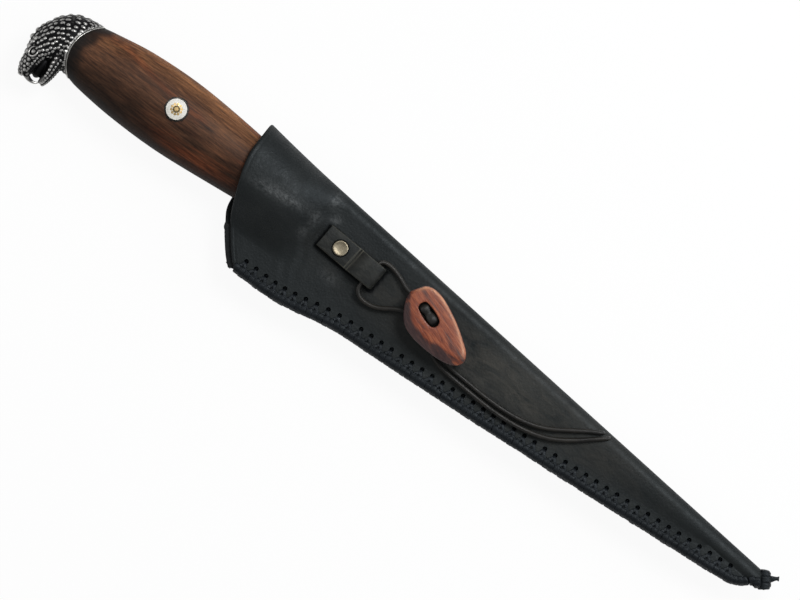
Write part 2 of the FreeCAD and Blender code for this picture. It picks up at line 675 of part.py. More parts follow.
def mosaic_pin():
    outer, wall = size("pin_dia"), size("pin_wall")
    feature("pin_tube", rod(outer).cut(rod(outer - 2 * wall)))
    circle, count = size("petal_circle") / 2, int(size("petal_count"))
    spots = [V(circle * math.cos(2 * math.pi * k / count), circle * math.sin(2 * math.pi * k / count), 0)
             for k in range(count)]
    petals = [rod(size("petal_dia"), spot) for spot in spots]
    ring, core = size("pin_ring_dia"), size("pin_core_dia")
    feature("pin_filler", rod(outer - 2 * wall).cut(petals + [rod(ring)]))
    feature("pin_petal_rods", Part.makeCompound(petals))
    feature("pin_inner_ring", rod(ring).cut(rod(core)))
    feature("pin_core", rod(core))


# --- toggle and cords -------------------------------------------------------------------

def toggle_frame():
    turn = FreeCAD.Rotation(UP, size("toggle_angle"))
    return FreeCAD.Placement(V(size("toggle_x"), size("toggle_y"), PANEL_TOP + size("toggle_lift")),
                             turn)


def drop_outline():
    """Blunt at one end, full on its lower side, narrower and rounded at the other end."""
    length, wide = size("toggle_length"), size("toggle_wide")
    curve = Part.BSplineCurve()
    curve.interpolate([V(x * length, y * wide, 0) for x, y in TOGGLE], True)
    return Part.Wire([curve.toShape()])


def toggle():
    thick = size("toggle_thick")
    blank = prism(drop_outline(), 0, thick)
    top = [e for e in blank.Edges if e.BoundBox.ZMin > thick - 0.01]
    blank = blank.makeFillet(size("toggle_round"), top)
    low = [e for e in blank.Edges if e.BoundBox.ZMax < 0.01]
    blank = blank.makeChamfer(size("toggle_chamfer"), low)
    wide, run = size("slot_wide"), size("slot_length")
    flat = Part.makeBox(run - wide, wide, thick, V(-(run - wide) / 2, -wide / 2, thick - size("slot_depth")))
    slot = flat
    for side in (1, -1):
        end = V(side * (run - wide) / 2, 0, thick - size("slot_depth"))
        slot = slot.fuse(Part.makeCylinder(wide / 2, thick, end, UP))
        hole = V(side * size("leg_spread") / 2, 0, -1)
        slot = slot.fuse(Part.makeCylinder(CORD + size("hole_room"), thick + 2, hole, UP))
    obj = feature("toggle", blank.cut(slot))
    obj.Placement = toggle_frame()
    return obj


def tube(points, radius):
    """A round cord along straight runs joined by tangent arcs."""
    spots = [V(*p) for p in points]
    lengths = [(b - a).Length for a, b in zip(spots, spots[1:])]
    edges, last, tightest = [], spots[0], 1e9
    for i in range(1, len(spots) - 1):
        before, after = (spots[i] - spots[i - 1]).normalize(), (spots[i + 1] - spots[i]).normalize()
        turn = before.getAngle(after)
        cut = 0.45 * min(lengths[i - 1], lengths[i])
        tightest = min(tightest, cut / math.tan(turn / 2))
        a, b = spots[i] - before * cut, spots[i] + after * cut
        inward = (after - before).normalize()
        r = cut / math.tan(turn / 2)
        middle = spots[i] + inward * (math.hypot(r, cut) - r)
        edges.append(Part.makeLine(last, a))
        edges.append(Part.Arc(a, middle, b).toShape())
        last = b
    edges.append(Part.makeLine(last, spots[-1]))
    path = Part.Wire(edges)
    circle = Part.Wire([Part.makeCircle(radius, spots[0], (spots[1] - spots[0]).normalize())])
    shape = path.makePipeShell([circle], True, False)
    want = math.pi * radius ** 2 * path.Length
    print(f"cord {path.Length:.1f} mm, tightest radius {tightest:.2f}, volume {shape.Volume / want:.4f}")
    return shape


def over_leather(points):
    """Cord points moved with the panels when the leather or the blade is thicker."""
    rise = PANEL_TOP - DRAWN_TOP
    return [(x, y, z + rise * max(-1.0, min(1.0, z / DRAWN_TOP))) for x, y, z in points]


def toggle_cord_bight():
    """The cord's bight: up one hole, across the slot and down the other."""
    half, thick = size("leg_spread") / 2, size("toggle_thick")
    high = thick - size("slot_depth") + CORD + 0.15
    points = [(-half, 0, 0.1), (-half, 0, high), (half, 0, high), (half, 0, 0.1)]
    spots = [V(*p) for p in points]
    r = 1.6
    s = math.sqrt(0.5)
    edges = [Part.makeLine(spots[0], V(-half, 0, high - r)),
             Part.Arc(V(-half, 0, high - r), V(-half + r - r * s, 0, high - r + r * s),
                      V(-half + r, 0, high)).toShape(),
             Part.makeLine(V(-half + r, 0, high), V(half - r, 0, high)),
             Part.Arc(V(half - r, 0, high), V(half - r + r * s, 0, high - r + r * s),
                      V(half, 0, high - r)).toShape(),
             Part.makeLine(V(half, 0, high - r), spots[3])]
    circle = Part.Wire([Part.makeCircle(CORD, spots[0], UP)])
    obj = feature("toggle_cord_bight", Part.Wire(edges).makePipeShell([circle], True, False))
    obj.Placement = toggle_frame()
    return obj


def build():
    blade()
    bolster()
    handle_wood()
    collar_ring()
    snake_head_pommel()
    mosaic_pin()
    sheath_shell()
    welt()
    edge_lacing()
    tip_knot()
    front, back = rivet_spots()
    tab = strap("strap_tab", tab_frame(), size("tab_length"), "Sizes.tab_wide")
    keeper = strap("back_keeper", keeper_frame(), size("keeper_length"), "Sizes.keeper_wide")
    punch(tab, front)
    punch(keeper, back)
    rivet(("tab_rivet_cap", "tab_rivet_post", "tab_rivet_washer"), front)
    rivet(("keeper_rivet_cap", "keeper_rivet_post", "keeper_rivet_washer"), back)
    toggle()
    toggle_cord_bight()
    feature("loop_cord", tube(over_leather(LOOP_CORD), CORD))
    feature("belt_cord", tube(over_leather(BELT_CORD), CORD))


def corners(shape):
    """Lowest and highest corner of a shape, from a fine mesh of it."""
    points = shape.tessellate(0.05)[0]
    return ([min(p[i] for p in points) for i in range(3)],
            [max(p[i] for p in points) for i in range(3)])


def settle():
    """Moves every sub-part so that the whole stands on z = 0, centred in plan."""
    boxes = [corners(n.Shape) for n in NODES]
    low = [min(b[0][i] for b in boxes) for i in range(3)]
    high = [max(b[1][i] for b in boxes) for i in range(3)]
    shift = V(-(low[0] + high[0]) / 2, -(low[1] + high[1]) / 2, -low[2])
    print("low", low, "high", high, "shift", tuple(shift))
    for obj in NODES:
        move = FreeCAD.Placement(shift, FreeCAD.Rotation())
        obj.Placement = move.multiply(obj.Placement)
    doc.recompute()


def check_all():
    for obj in doc.Objects:
        if "Invalid" in obj.State or "Error" in obj.State:
            raise RuntimeError(f"{obj.Label} failed: {obj.State}")
    for obj in NODES:
        if obj.Shape.isNull() or not obj.Shape.isValid():
            raise RuntimeError(f"{obj.Label} has no valid shape")


build()
doc.recompute()
check_all()
settle()
check_all()
os.makedirs("parts", exist_ok=True)
for part in NODES:
    part.Shape.exportStep(os.path.join("parts", part.Label + ".step"))
    print(part.Label, len(part.Shape.Solids), round(part.Shape.Volume, 1))
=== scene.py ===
"""Looks for the sheathed knife: everything is drawn in millimetres about the knife's
mid-plane, as the part is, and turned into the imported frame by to_frame()."""

import bmesh
import bpy
import json
import math
import numpy as np
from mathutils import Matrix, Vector, noise


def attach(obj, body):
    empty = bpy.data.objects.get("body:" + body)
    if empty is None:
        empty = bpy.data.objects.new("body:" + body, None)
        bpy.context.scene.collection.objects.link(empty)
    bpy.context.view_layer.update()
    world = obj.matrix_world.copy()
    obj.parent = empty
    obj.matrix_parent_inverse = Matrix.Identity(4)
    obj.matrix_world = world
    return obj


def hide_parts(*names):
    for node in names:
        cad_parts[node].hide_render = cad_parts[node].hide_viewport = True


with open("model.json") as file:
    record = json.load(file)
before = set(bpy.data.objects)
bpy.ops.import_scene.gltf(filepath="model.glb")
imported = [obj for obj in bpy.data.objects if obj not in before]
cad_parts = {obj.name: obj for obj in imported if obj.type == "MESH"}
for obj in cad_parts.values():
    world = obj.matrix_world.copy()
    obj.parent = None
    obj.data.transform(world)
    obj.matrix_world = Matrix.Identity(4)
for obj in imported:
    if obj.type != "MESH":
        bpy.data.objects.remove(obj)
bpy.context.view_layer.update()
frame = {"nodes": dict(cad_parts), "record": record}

HINGE = [j for j in frame["record"]["behaviour"]["joints"] if j["name"] == "toggle_turn"][0]
SLOT = (9.0, 5.1, 11.2)  # slot centre of the toggle, in drawing millimetres
SHIFT = np.array([HINGE["pos_m"][i] * 1000 - SLOT[i] for i in range(3)])

# --- sizes, in millimetres: the part's own, and those that only the looks need ----------

GUARD, HEEL, TIP = -57.0, -50.0, 170.0  # places along the blade
LEATHER, WELT = 2.2, 1.25  # the leather's thickness and half the welt's
BLADE_ROOM, HANDLE_ROOM = 2.25, 12.3  # half thickness of the room inside
PANEL_TOP = BLADE_ROOM + LEATHER + 0.05
REST = 13.9  # how far the back's flat patch lies below the middle
CORD = 1.0  # radius
SPINE_HIGH, SPINE_FALL = 25.49, 0.0985  # the fold's height at the guard and its slope
BLADE_HIGH = 35.0
EDGE_MARGIN, MOUTH_MARGIN = 9.1, 4.4  # leather below the blade, and what the mouth adds
MARGIN_WIDE = 9.0  # the laced margin, as the shell's grid counts it
TIP_END = TIP + 10.5
TIP_REACH = 2.6  # how far the leather runs on into the knot
MOUTH_REACH = 32.4  # from the guard to the mouth at the fold
# the front panel at the mouth: x from the guard, y
MOUTH = [(-MOUTH_REACH, 15.4), (-30.9, 8.5), (-28.7, 2.2), (-24.7, -8.0), (-20.8, -14.4),
         (-16.6, -20.0), (-12.8, -24.4), (-9.4, -27.5)]
WELT_STEP = 2.7  # the back panel and the welt reach this far past the front panel
PITCH, INSET, HOLE = 5.0, 5.6, 0.98  # lacing holes: spacing, from the edge, radius
PLUG = 1.02  # radius of the lace in a hole, painted near-black as the hole's shade
LAST_WRAP = (2.7, 1.2)  # width and thickness of the wraps past the last hole
LAST_WRAPS = ((181.2, -4.3, 0), (183.0, -3.3, 0), (183.5, -4.0, 0))  # those by the knot
# dusty marks on the front, partly painted highlight: centre x and y, half length, half height, strength
DUST_AND_HIGHLIGHT = [(-49.3, 19.9, 2.2, 2.6, 0.9), (-44.6, 13.6, 2.4, 2.0, 0.8), (-51.5, 8.6, 2.0, 3.6, 0.6),
        (-53.0, 1.4, 2.2, 2.4, 0.4), (-33.0, -7.0, 4.5, 2.6, 0.45)]
STRAP, STRAP_EYE = 1.5, 2.7  # a strap's thickness and the room in its eye
TAB_AT, TAB_TURN, TAB_LONG, TAB_WIDE, TAB_RIVET = (-44.8, 5.9), -3.5, 29.0, 10.6, 8.6
KEEPER_AT, KEEPER_LONG, KEEPER_WIDE, KEEPER_RIVET = (134.0, 0.6), 26.0, 8.6, 5.4
HANDLE_AXIS, HANDLE_START, HANDLE_LENGTH = 8.7, GUARD - 5.0, 106.0
HANDLE_HIGH, HANDLE_THICK = 33.0, 23.6
# the wood: share of the length, share of the height, share of the thickness, rise of the axis
HANDLE = [(0.0, 0.66, 0.80, 0.5), (0.29, 0.864, 0.93, 0.5), (0.56, 0.995, 1.0, 0.15),
          (0.78, 0.964, 0.99, -0.3), (0.94, 0.839, 0.90, -0.9), (1.0, 0.76, 0.85, -0.9),
          (1.08, 0.64, 0.78, -0.9)]
DOME, RISE = 16.2, 5.5  # radius of the domed butt and how far it stands out
COLLAR_X, NECK_Y = HANDLE_START - HANDLE_LENGTH - RISE, HANDLE_AXIS - 0.9
PIN_AT, PIN_BORE = (GUARD - 66.9, HANDLE_AXIS + 2.5, 0), 4.93

LOOP_CORD = [(15.6, 3.6, 8.05), (14.2, 8.0, 8.05), (8.8, 9.6, 8.05), (2.6, 8.2, 8.05),
             (-3.6, 7.6, 7.4), (-9.2, 10.3, 6.4), (-15.4, 12.0, 6.3), (-20.0, 11.0, 7.3),
             (-20.0, 6.0, 7.4), (-20.6, 1.5, 7.4), (-21.0, -4.6, 7.3), (-16.4, -6.8, 6.3),
             (-9.6, -5.6, 6.3), (-3.4, -1.0, 7.2), (2.6, 1.4, 8.05), (9.0, 0.0, 8.05),
             (14.6, -1.2, 8.05)]
BELT_CORD = [(5.8, 6.2, 9.0), (5.8, 6.0, 6.6), (7.6, 3.6, 5.7), (11.6, -1.0, 5.6),
             (17.4, -6.2, 5.6), (23.6, -9.2, 5.6), (30.7, -10.0, 5.6), (38.0, -10.4, 5.6),
             (47.0, -11.0, 5.6), (56.8, -11.0, 5.6), (65.0, -10.3, 5.6), (72.4, -8.8, 5.6),
             (80.2, -6.0, 5.7), (88.4, -0.4, 5.7), (94.6, 5.0, 5.7), (98.6, 8.4, 5.4),
             (98.8, 8.4, -5.4), (103.0, 8.0, -5.9), (107.0, 7.8, -5.9), (110.6, 7.0, -7.1),
             (110.9, 2.0, -7.2), (111.0, -5.8, -7.1), (105.6, -7.0, -5.9), (101.6, -1.6, -5.8),
             (98.4, 4.0, -5.9), (95.8, 8.7, -5.4), (95.6, 8.7, 5.4), (91.4, 6.4, 5.7),
             (83.8, 1.4, 5.7), (75.6, -4.0, 5.6), (67.0, -7.0, 5.6), (57.0, -8.3, 5.6),
             (46.6, -8.4, 5.6), (37.4, -7.8, 5.6), (28.4, -7.4, 5.6), (20.6, -4.4, 5.6),
             (15.0, 0.4, 5.7), (12.2, 3.6, 6.8), (12.2, 4.0, 9.0)]
# from the leather's edge at the blade's tip
LACE_TAIL = [(14.8, 9.6, 0.0), (16.6, 11.2, 0.1), (18.0, 12.4, 0.1), (19.0, 13.0, 0.0)]
KNOT_AXIS = (3.9, -6.2, 0)
# the knot's turns: place along it, radius, lean
KNOT_TURNS = [(-3.1, 1.5, 0.14), (-2.2, 1.9, -0.12), (-0.9, 2.2, 0.13), (0.4, 2.4, -0.14),
              (1.7, 2.3, 0.12), (3.0, 1.9, -0.1)]
TOGGLE_LONG, TOGGLE_WIDE, TOGGLE_THICK = 36.2, 19.6, 7.6
TOGGLE_TURN, TOGGLE_LIFT, SLOT_DEEP = -19.4, 4.9, 2.7
# the outline, as shares of the length and the width
TOGGLE = [(-0.334, 0.010), (-0.298, 0.250), (-0.210, 0.388), (-0.066, 0.439),
          (0.110, 0.418), (0.282, 0.367), (0.442, 0.291), (0.580, 0.204), (0.657, 0.082),
          (0.663, -0.071), (0.608, -0.219), (0.508, -0.337), (0.365, -0.444),
          (0.221, -0.520), (0.083, -0.561), (-0.055, -0.541), (-0.182, -0.413),
          (-0.285, -0.219)]


# --- camera, lights, floor ---------------------------------------------------------------

VIEW_CENTRE = (-4.05, 2.86, 0)
WHITE = (1, 1, 1, 1)


def make_camera():
    """Straight down on the front, the draw axis falling to the lower right."""
    roll, lens, seen, high = math.radians(36.5), 360.0, 0.3282, 0.0139
    data = bpy.data.cameras.new("camera")
    data.lens, data.sensor_width = lens, 36.0
    data.clip_start, data.clip_end = 0.01, 10.0
    camera = bpy.data.objects.new("camera", data)
    centre = to_frame([VIEW_CENTRE])[0]
    camera.location = (centre[0], centre[1], high + seen * lens / 36.0)
    camera.rotation_euler = (0, 0, roll)
    bpy.context.collection.objects.link(camera)
    bpy.context.scene.camera = camera


def area_light(name, place, target, size, power, colour=(1, 1, 1)):
    data = bpy.data.lights.new(name, "AREA")
    data.size, data.energy, data.color = size, power, colour
    lamp = bpy.data.objects.new(name, data)
    lamp.location = place
    lamp.rotation_euler = (Vector(target) - Vector(place)).to_track_quat("-Z", "Y").to_euler()
    bpy.context.collection.objects.link(lamp)


def show_camera(tree, others, seen, target, share=1.0):
    """Gives the camera one shader and the light's own rays the other."""
    path, mix = tree.nodes.new("ShaderNodeLightPath"), tree.nodes.new("ShaderNodeMixShader")
    amount = path.outputs["Is Camera Ray"]
    if share < 1:
        part = tree.nodes.new("ShaderNodeMath")
        part.operation = "MULTIPLY"
        part.inputs[1].default_value = share
        tree.links.new(amount, part.inputs[0])
        amount = part.outputs[0]
    for socket, source in zip(mix.inputs, (amount, others.outputs[0], seen.outputs[0])):
        tree.links.new(source, socket)
    tree.links.new(mix.outputs[0], tree.nodes[target].inputs[0])


def make_lights():
    scene = bpy.context.scene
    scene.view_settings.view_transform = "Standard"
    world = bpy.data.worlds.new("studio")
    world.use_nodes = True
    scene.world = world
    tree = world.node_tree
    back = tree.nodes["Background"]
    back.inputs["Color"].default_value = WHITE
    back.inputs["Strength"].default_value = 0.30
    white = tree.nodes.new("ShaderNodeBackground")
    white.inputs["Color"].default_value = WHITE
    show_camera(tree, back, white, "World Output")
    area_light("key", (0.10, 0.55, 0.95), (0, 0, 0), 0.40, 7.0)
    area_light("side", (0.75, 0.55, 0.50), (0, 0, 0), 0.35, 4.0, (0.92, 0.96, 1.0))
    area_light("fill", (-0.75, -0.25, 0.7), (0, 0, 0), 0.5, 1.6)


def make_floor():
    """A plain white floor that shows the camera white and keeps a soft shadow."""
    size = 4.0
    mesh = bpy.data.meshes.new("floor")
    corners = [(-size, -size, 0), (size, -size, 0), (size, size, 0), (-size, size, 0)]
    mesh.from_pydata(corners, [], [(0, 1, 2, 3)])
    floor = bpy.data.objects.new("floor", mesh)
    bpy.context.collection.objects.link(floor)
    material = bpy.data.materials.new("floor_white")
    material.use_nodes = True
    tree = material.node_tree
    base = tree.nodes["Principled BSDF"]
    base.inputs["Base Color"].default_value = (0.86, 0.86, 0.86, 1)
    base.inputs["Roughness"].default_value = 0.9
    glow = tree.nodes.new("ShaderNodeEmission")
    show_camera(tree, base, glow, "Material Output", 0.93)
    mesh.materials.append(material)


# --- materials ---------------------------------------------------------------------------

class Shader:
    """A node material with one Principled shader and short ways to add nodes."""

    def __init__(self, name, **sockets):
        self.material = bpy.data.materials.new(name)
        self.material.use_nodes = True
        self.tree = self.material.node_tree
        self.base = self.tree.nodes["Principled BSDF"]
        self.place = self.tree.nodes.new("ShaderNodeTexCoord").outputs["Object"]
        for socket, value in sockets.items():
            self.base.inputs[socket.replace("_", " ")].default_value = value

    def node(self, kind, inputs=(), **props):
        made = self.tree.nodes.new("ShaderNode" + kind)
        for prop, value in props.items():
            setattr(made, prop, value)
        for socket, value in dict(inputs).items():
            self.feed(made.inputs[socket], value)
        return made

    def feed(self, socket, value):
        if isinstance(value, bpy.types.NodeSocket):
            self.tree.links.new(value, socket)
        else:
            socket.default_value = value

    def stretched(self, x, y, z):
        """Object coordinates, scaled along each axis."""
        return self.node("Mapping", {"Vector": self.place, "Scale": (x, y, z)}).outputs[0]

    def noise(self, vector, scale, detail=4.0, rough=0.55, distort=0.0):
        made = self.node("TexNoise", {"Vector": vector, "Scale": scale, "Detail": detail,
                                      "Roughness": rough, "Distortion": distort})
        return made.outputs[0]

    def cells(self, vector, scale):
        return self.node("TexVoronoi", {"Vector": vector, "Scale": scale}).outputs["Distance"]

    def attribute(self, name):
        return self.node("Attribute", attribute_name=name).outputs["Fac"]

    def ramp(self, value, stops):
        made = self.node("ValToRGB", {"Fac": value})
        band = made.color_ramp
        while len(band.elements) < len(stops):
            band.elements.new(0.5)
        for element, (at, colour) in zip(band.elements, stops):
            element.position, element.color = at, (*colour, 1)
        return made.outputs["Color"]

    def span(self, value, low, high, to_low=0.0, to_high=1.0):
        made = self.node("MapRange", {"Value": value, "From Min": low, "From Max": high,
                                      "To Min": to_low, "To Max": to_high})
        return made.outputs[0]

    def math(self, kind, a, b):
        return self.node("Math", {0: a, 1: b}, operation=kind).outputs[0]

    def mix(self, share, a, b, blend="MIX"):
        made = self.node("Mix", data_type="RGBA", blend_type=blend)
        self.feed(made.inputs[0], share)
        for socket, colour in ((made.inputs[6], a), (made.inputs[7], b)):
            self.feed(socket, colour if isinstance(colour, bpy.types.NodeSocket) else (*colour, 1))
        return made.outputs[2]

    def bump(self, height, distance, strength=1.0, under=None):
        made = self.node("Bump", {"Height": height, "Distance": distance, "Strength": strength})
        if under:
            self.tree.links.new(under, made.inputs["Normal"])
        return made.outputs[0]

    def finish(self, colour, rough, normal=None):
        self.feed(self.base.inputs["Base Color"], colour)
        self.feed(self.base.inputs["Roughness"], rough)
        if normal:
            self.tree.links.new(normal, self.base.inputs["Normal"])
        return self.material


def leather_material(name, dark, light, worn, grain=900.0, gloss=0.24):
    """Waxed leather: pebbled grain, faint scuffs, paler where the wear attribute is high."""
    s = Shader(name, Specular_IOR_Level=gloss, Specular_Tint=(0.86, 0.95, 1.0, 1))
    broad = s.noise(s.stretched(1, 1, 1), 38, 5, 0.6)
    fine = s.noise(s.stretched(1, 1, 1), 420, 4, 0.6)
    scuff = s.noise(s.stretched(0.35, 1, 1), 240, 6, 0.7, 0.6)
    base = s.mix(s.span(broad, 0.35, 0.7), dark, light)
    wear = s.math("MULTIPLY", s.attribute("wear"), s.span(scuff, 0.3, 0.62))
    # the line attribute: painted highlight along a strap's top edges, and pale crease lines
    base = s.mix(s.attribute("line"), base, (0.105, 0.100, 0.078))
    mottle = s.noise(s.stretched(0.7, 1, 1), 620, 10, 0.85, 0.3)
    # pale dusty marks, partly a painted highlight along the bulge's ridge
    dust_and_highlight = s.math("MULTIPLY", s.attribute("dust_and_highlight"), s.span(mottle, 0.42, 0.68))
    base = s.mix(dust_and_highlight, base, (0.130, 0.136, 0.138))
    shade = s.attribute("shade")
    colour = s.mix(shade, s.mix(wear, base, worn), (0.0008, 0.0010, 0.0012))
    rough = s.math("ADD", s.span(fine, 0.3, 0.7, 0.44, 0.60), s.math("MULTIPLY", wear, 0.10))
    rough = s.math("MAXIMUM", rough, shade)
    pebble = s.bump(s.cells(s.stretched(1, 1, 1), grain), 0.00012, 0.5)
    crease = s.bump(scuff, 0.0003, 0.35, pebble)
    return s.finish(colour, rough, s.bump(fine, 0.0002, 0.3, crease))


def cord_material():
    s = Shader("cord_leather", Specular_IOR_Level=0.36)
    fibre = s.noise(s.stretched(0.5, 1, 1), 700, 4, 0.6)
    patch = s.noise(s.place, 130, 3, 0.6)
    colour = s.mix(s.span(patch, 0.35, 0.7), (0.0045, 0.0044, 0.0040), (0.017, 0.015, 0.012))
    return s.finish(colour, s.span(fibre, 0.3, 0.7, 0.38, 0.6), s.bump(fibre, 0.0002, 0.5))


def handle_material():
    """Dark oiled wood: darker by the collar and towards the lower side, orange-brown along the top."""
    s = Shader("handle_wood_grain", Specular_IOR_Level=0.16)
    fibre = s.noise(s.stretched(0.07, 1.0, 1.0), 1500, 5, 0.68, 0.2)
    streak = s.noise(s.stretched(0.09, 1.0, 1.0), 420, 5, 0.66, 0.8)
    patch = s.noise(s.stretched(0.3, 1.0, 1.0), 75, 3, 0.5, 0.6)
    pores = s.noise(s.stretched(0.10, 1.0, 1.0), 2600, 3, 0.7)
    tone = s.attribute("tone")
    body = s.ramp(tone, [(0.0, (0.0045, 0.0045, 0.0045)), (0.28, (0.020, 0.0105, 0.0065)),
                         (0.60, (0.078, 0.036, 0.019)), (1.0, (0.175, 0.080, 0.034))])
    red = s.mix(s.span(patch, 0.50, 0.66), (1, 1, 1), (1.35, 0.90, 0.72))
    colour = s.mix(0.9, body, red, "MULTIPLY")
    ember = s.math("MULTIPLY", s.attribute("ember"), s.span(patch, 0.36, 0.56))
    colour = s.mix(ember, colour, (0.150, 0.042, 0.016))
    dark = s.mix(s.span(streak, 0.44, 0.66), (1.15, 1.15, 1.15), (0.42, 0.36, 0.34))
    colour = s.mix(0.85, colour, dark, "MULTIPLY")
    lines = s.mix(s.span(fibre, 0.36, 0.66), (0.42, 0.42, 0.44), (1.85, 1.7, 1.55))
    colour = s.mix(0.8, colour, lines, "MULTIPLY")
    pits = s.mix(s.span(pores, 0.56, 0.70), (1, 1, 1), (0.4, 0.37, 0.36))
    colour = s.mix(0.7, colour, pits, "MULTIPLY")
    rough = s.span(fibre, 0.3, 0.7, 0.46, 0.60)
    return s.finish(colour, rough, s.bump(fibre, 0.0001, 0.3, s.bump(pores, 0.0001, 0.35)))


def toggle_material():
    """Red-brown wood with purple-brown streaks and open grain along the toggle."""
    s = Shader("toggle_rosewood", Specular_IOR_Level=0.4)
    s.base.inputs["Coat Weight"].default_value = 0.12
    turned = s.node("Mapping", {"Vector": s.place, "Rotation": (0, 0, math.radians(-TOGGLE_TURN)),
                                "Scale": (1, 1, 1)}).outputs[0]
    grain = s.node("Mapping", {"Vector": turned, "Scale": (0.22, 1.6, 1.2)}).outputs[0]
    fibre = s.noise(grain, 620, 6, 0.7, 0.4)
    streak = s.noise(grain, 170, 4, 0.6, 1.2)
    warm = s.ramp(fibre, [(0.3, (0.085, 0.018, 0.010)), (0.5, (0.22, 0.052, 0.022)),
                          (0.7, (0.36, 0.115, 0.048))])
    purple = s.ramp(fibre, [(0.3, (0.022, 0.011, 0.012)), (0.6, (0.068, 0.032, 0.030)),
                            (0.8, (0.13, 0.068, 0.052))])
    share = s.span(s.math("ADD", streak, s.math("MULTIPLY", s.attribute("tone"), 0.30)), 0.50, 0.68)
    colour = s.mix(share, warm, purple)
    # painted highlight on the right-hand bevel
    bevel_highlight = s.math("MULTIPLY", s.attribute("pale"), s.span(fibre, 0.3, 0.6, 0.4, 1.0))
    colour = s.mix(bevel_highlight, colour, (0.56, 0.27, 0.15))
    colour = s.mix(s.attribute("shade"), colour, (0.003, 0.0025, 0.002))
    return s.finish(colour, s.span(fibre, 0.3, 0.7, 0.38, 0.55), s.bump(fibre, 0.0004, 0.5))


def silver_material():
    """Cast silver: oxide in the recesses, worn bright on what stands out; painted shade inside the mouth
    comes in through the cavity attribute.
    """
    s = Shader("antique_silver", Metallic=1.0)
    rub = s.span(s.attribute("cavity"), 0.50, 0.96)
    spots = s.noise(s.place, 900, 4, 0.6)
    shine = s.math("MULTIPLY", rub, s.span(spots, 0.3, 0.6, 0.75, 1.0))
    colour = s.mix(shine, (0.014, 0.014, 0.015), (0.66, 0.65, 0.63))
    return s.finish(colour, s.span(shine, 0, 1, 0.5, 0.28), s.bump(spots, 0.0001, 0.3))


def metal_material(name, colour, dull, rough):
    s = Shader(name, Metallic=1.0)
    spots = s.noise(s.place, 600, 5, 0.65)
    tint = s.mix(s.span(spots, 0.35, 0.7), colour, dull)
    return s.finish(tint, s.span(spots, 0.3, 0.7, rough, rough + 0.16), s.bump(spots, 0.0001, 0.4))


def steel_material():
    """Ground steel, scratched along the blade."""
    s = Shader("blade_steel", Metallic=1.0)
    lines = s.noise(s.stretched(0.05, 1, 1), 2500, 3, 0.6)
    tint = s.mix(s.span(lines, 0.3, 0.7), (0.42, 0.43, 0.44), (0.60, 0.61, 0.62))
    return s.finish(tint, s.span(lines, 0.3, 0.7, 0.22, 0.34), s.bump(lines, 0.00005, 0.4))


def filler_material():
    s = Shader("pin_resin", Specular_IOR_Level=0.5)
    spots = s.noise(s.place, 1500, 3, 0.6)
    tint = s.mix(s.span(spots, 0.4, 0.7), (0.72, 0.71, 0.66), (0.5, 0.48, 0.43))
    return s.finish(tint, 0.35)


# --- mesh tools --------------------------------------------------------------------------

UP = np.array([0, 0, 1.0])


def to_frame(points):
    return (np.asarray(points, float) + SHIFT) * 0.001


def add_object(name, points, faces, material, body, replaced=()):
    """A mesh piece from drawing millimetres, riding its body."""
    mesh = bpy.data.meshes.new(name)
    mesh.from_pydata([tuple(p) for p in to_frame(points)], [], [tuple(f) for f in faces])
    mesh.validate()
    mesh.polygons.foreach_set("use_smooth", [True] * len(mesh.polygons))
    mesh.materials.append(material)
    made = bpy.data.objects.new(name, mesh)
    bpy.context.collection.objects.link(made)
    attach(made, body)
    if replaced:
        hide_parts(*replaced)
    return made


def paint(obj, name, values):
    """Stores one number for each point of a mesh."""
    layer = obj.data.attributes.new(name, "FLOAT", "POINT")
    layer.data.foreach_set("value", np.clip(np.asarray(values, np.float32), 0, 1))


def grid_faces(rows, columns, wrap=False, start=0, flip=False):
    faces = []
    for i in range(rows - 1):
        for j in range(columns if wrap else columns - 1):
            k = (j + 1) % columns
            quad = (i * columns + j, i * columns + k, (i + 1) * columns + k, (i + 1) * columns + j)
            faces.append(tuple(start + v for v in (reversed(quad) if flip else quad)))
    return faces


def end_faces(rows, columns):
    """One face over each end of a tube."""
    return [tuple(reversed(range(columns))), tuple(range((rows - 1) * columns, rows * columns))]


def ring_faces(rows, columns):
    """Joins a tube's last row to its first."""
    last = (rows - 1) * columns
    return [(last + j, last + (j + 1) % columns, (j + 1) % columns, j) for j in range(columns)]


def joined(parts):
    """Several (points, faces) as one."""
    points, faces, start = [], [], 0
    for p, f in parts:
        points.append(np.asarray(p, float))
        faces += [tuple(start + v for v in face) for face in f]
        start += len(p)
    return np.concatenate(points), faces


def catmull(points, count):
    """A smooth line through points."""
    pts = np.asarray(points, float)
    pts = np.vstack([2 * pts[0] - pts[1], pts, 2 * pts[-1] - pts[-2]])
    out = []
    for u in np.linspace(0, len(pts) - 3 - 1e-9, count):
        i, f = int(u), u - int(u)
        a, b, c, d = pts[i:i + 4]
        out.append(0.5 * (2 * b + (c - a) * f + (2 * a - 5 * b + 4 * c - d) * f * f
                          + (3 * b - a - 3 * c + d) * f ** 3))
    return np.array(out)


def unit(v):
    v = np.asarray(v, float)
    return v / np.maximum(np.linalg.norm(v, axis=-1, keepdims=True), 1e-9)


def swept(line, normals, ring, closed=False):
    """A section ring of (across, out) pairs carried along a line with given normals."""
    line, normals = np.asarray(line, float), unit(normals)
    ahead = np.roll(line, -1, 0) - np.roll(line, 1, 0)
    if not closed:
        ahead[0], ahead[-1] = line[1] - line[0], line[-1] - line[-2]
    across = unit(np.cross(unit(ahead), normals))
    out = unit(np.cross(across, unit(ahead)))
    points = []
    for i in range(len(line)):
        shape = ring(i / (len(line) - 1)) if callable(ring) else ring
        points += [line[i] + a * across[i] + b * out[i] for a, b in shape]
    n = len(points) // len(line)
    ends = ring_faces(len(line), n) if closed else end_faces(len(line), n)
    return np.array(points), grid_faces(len(line), n, wrap=True) + ends


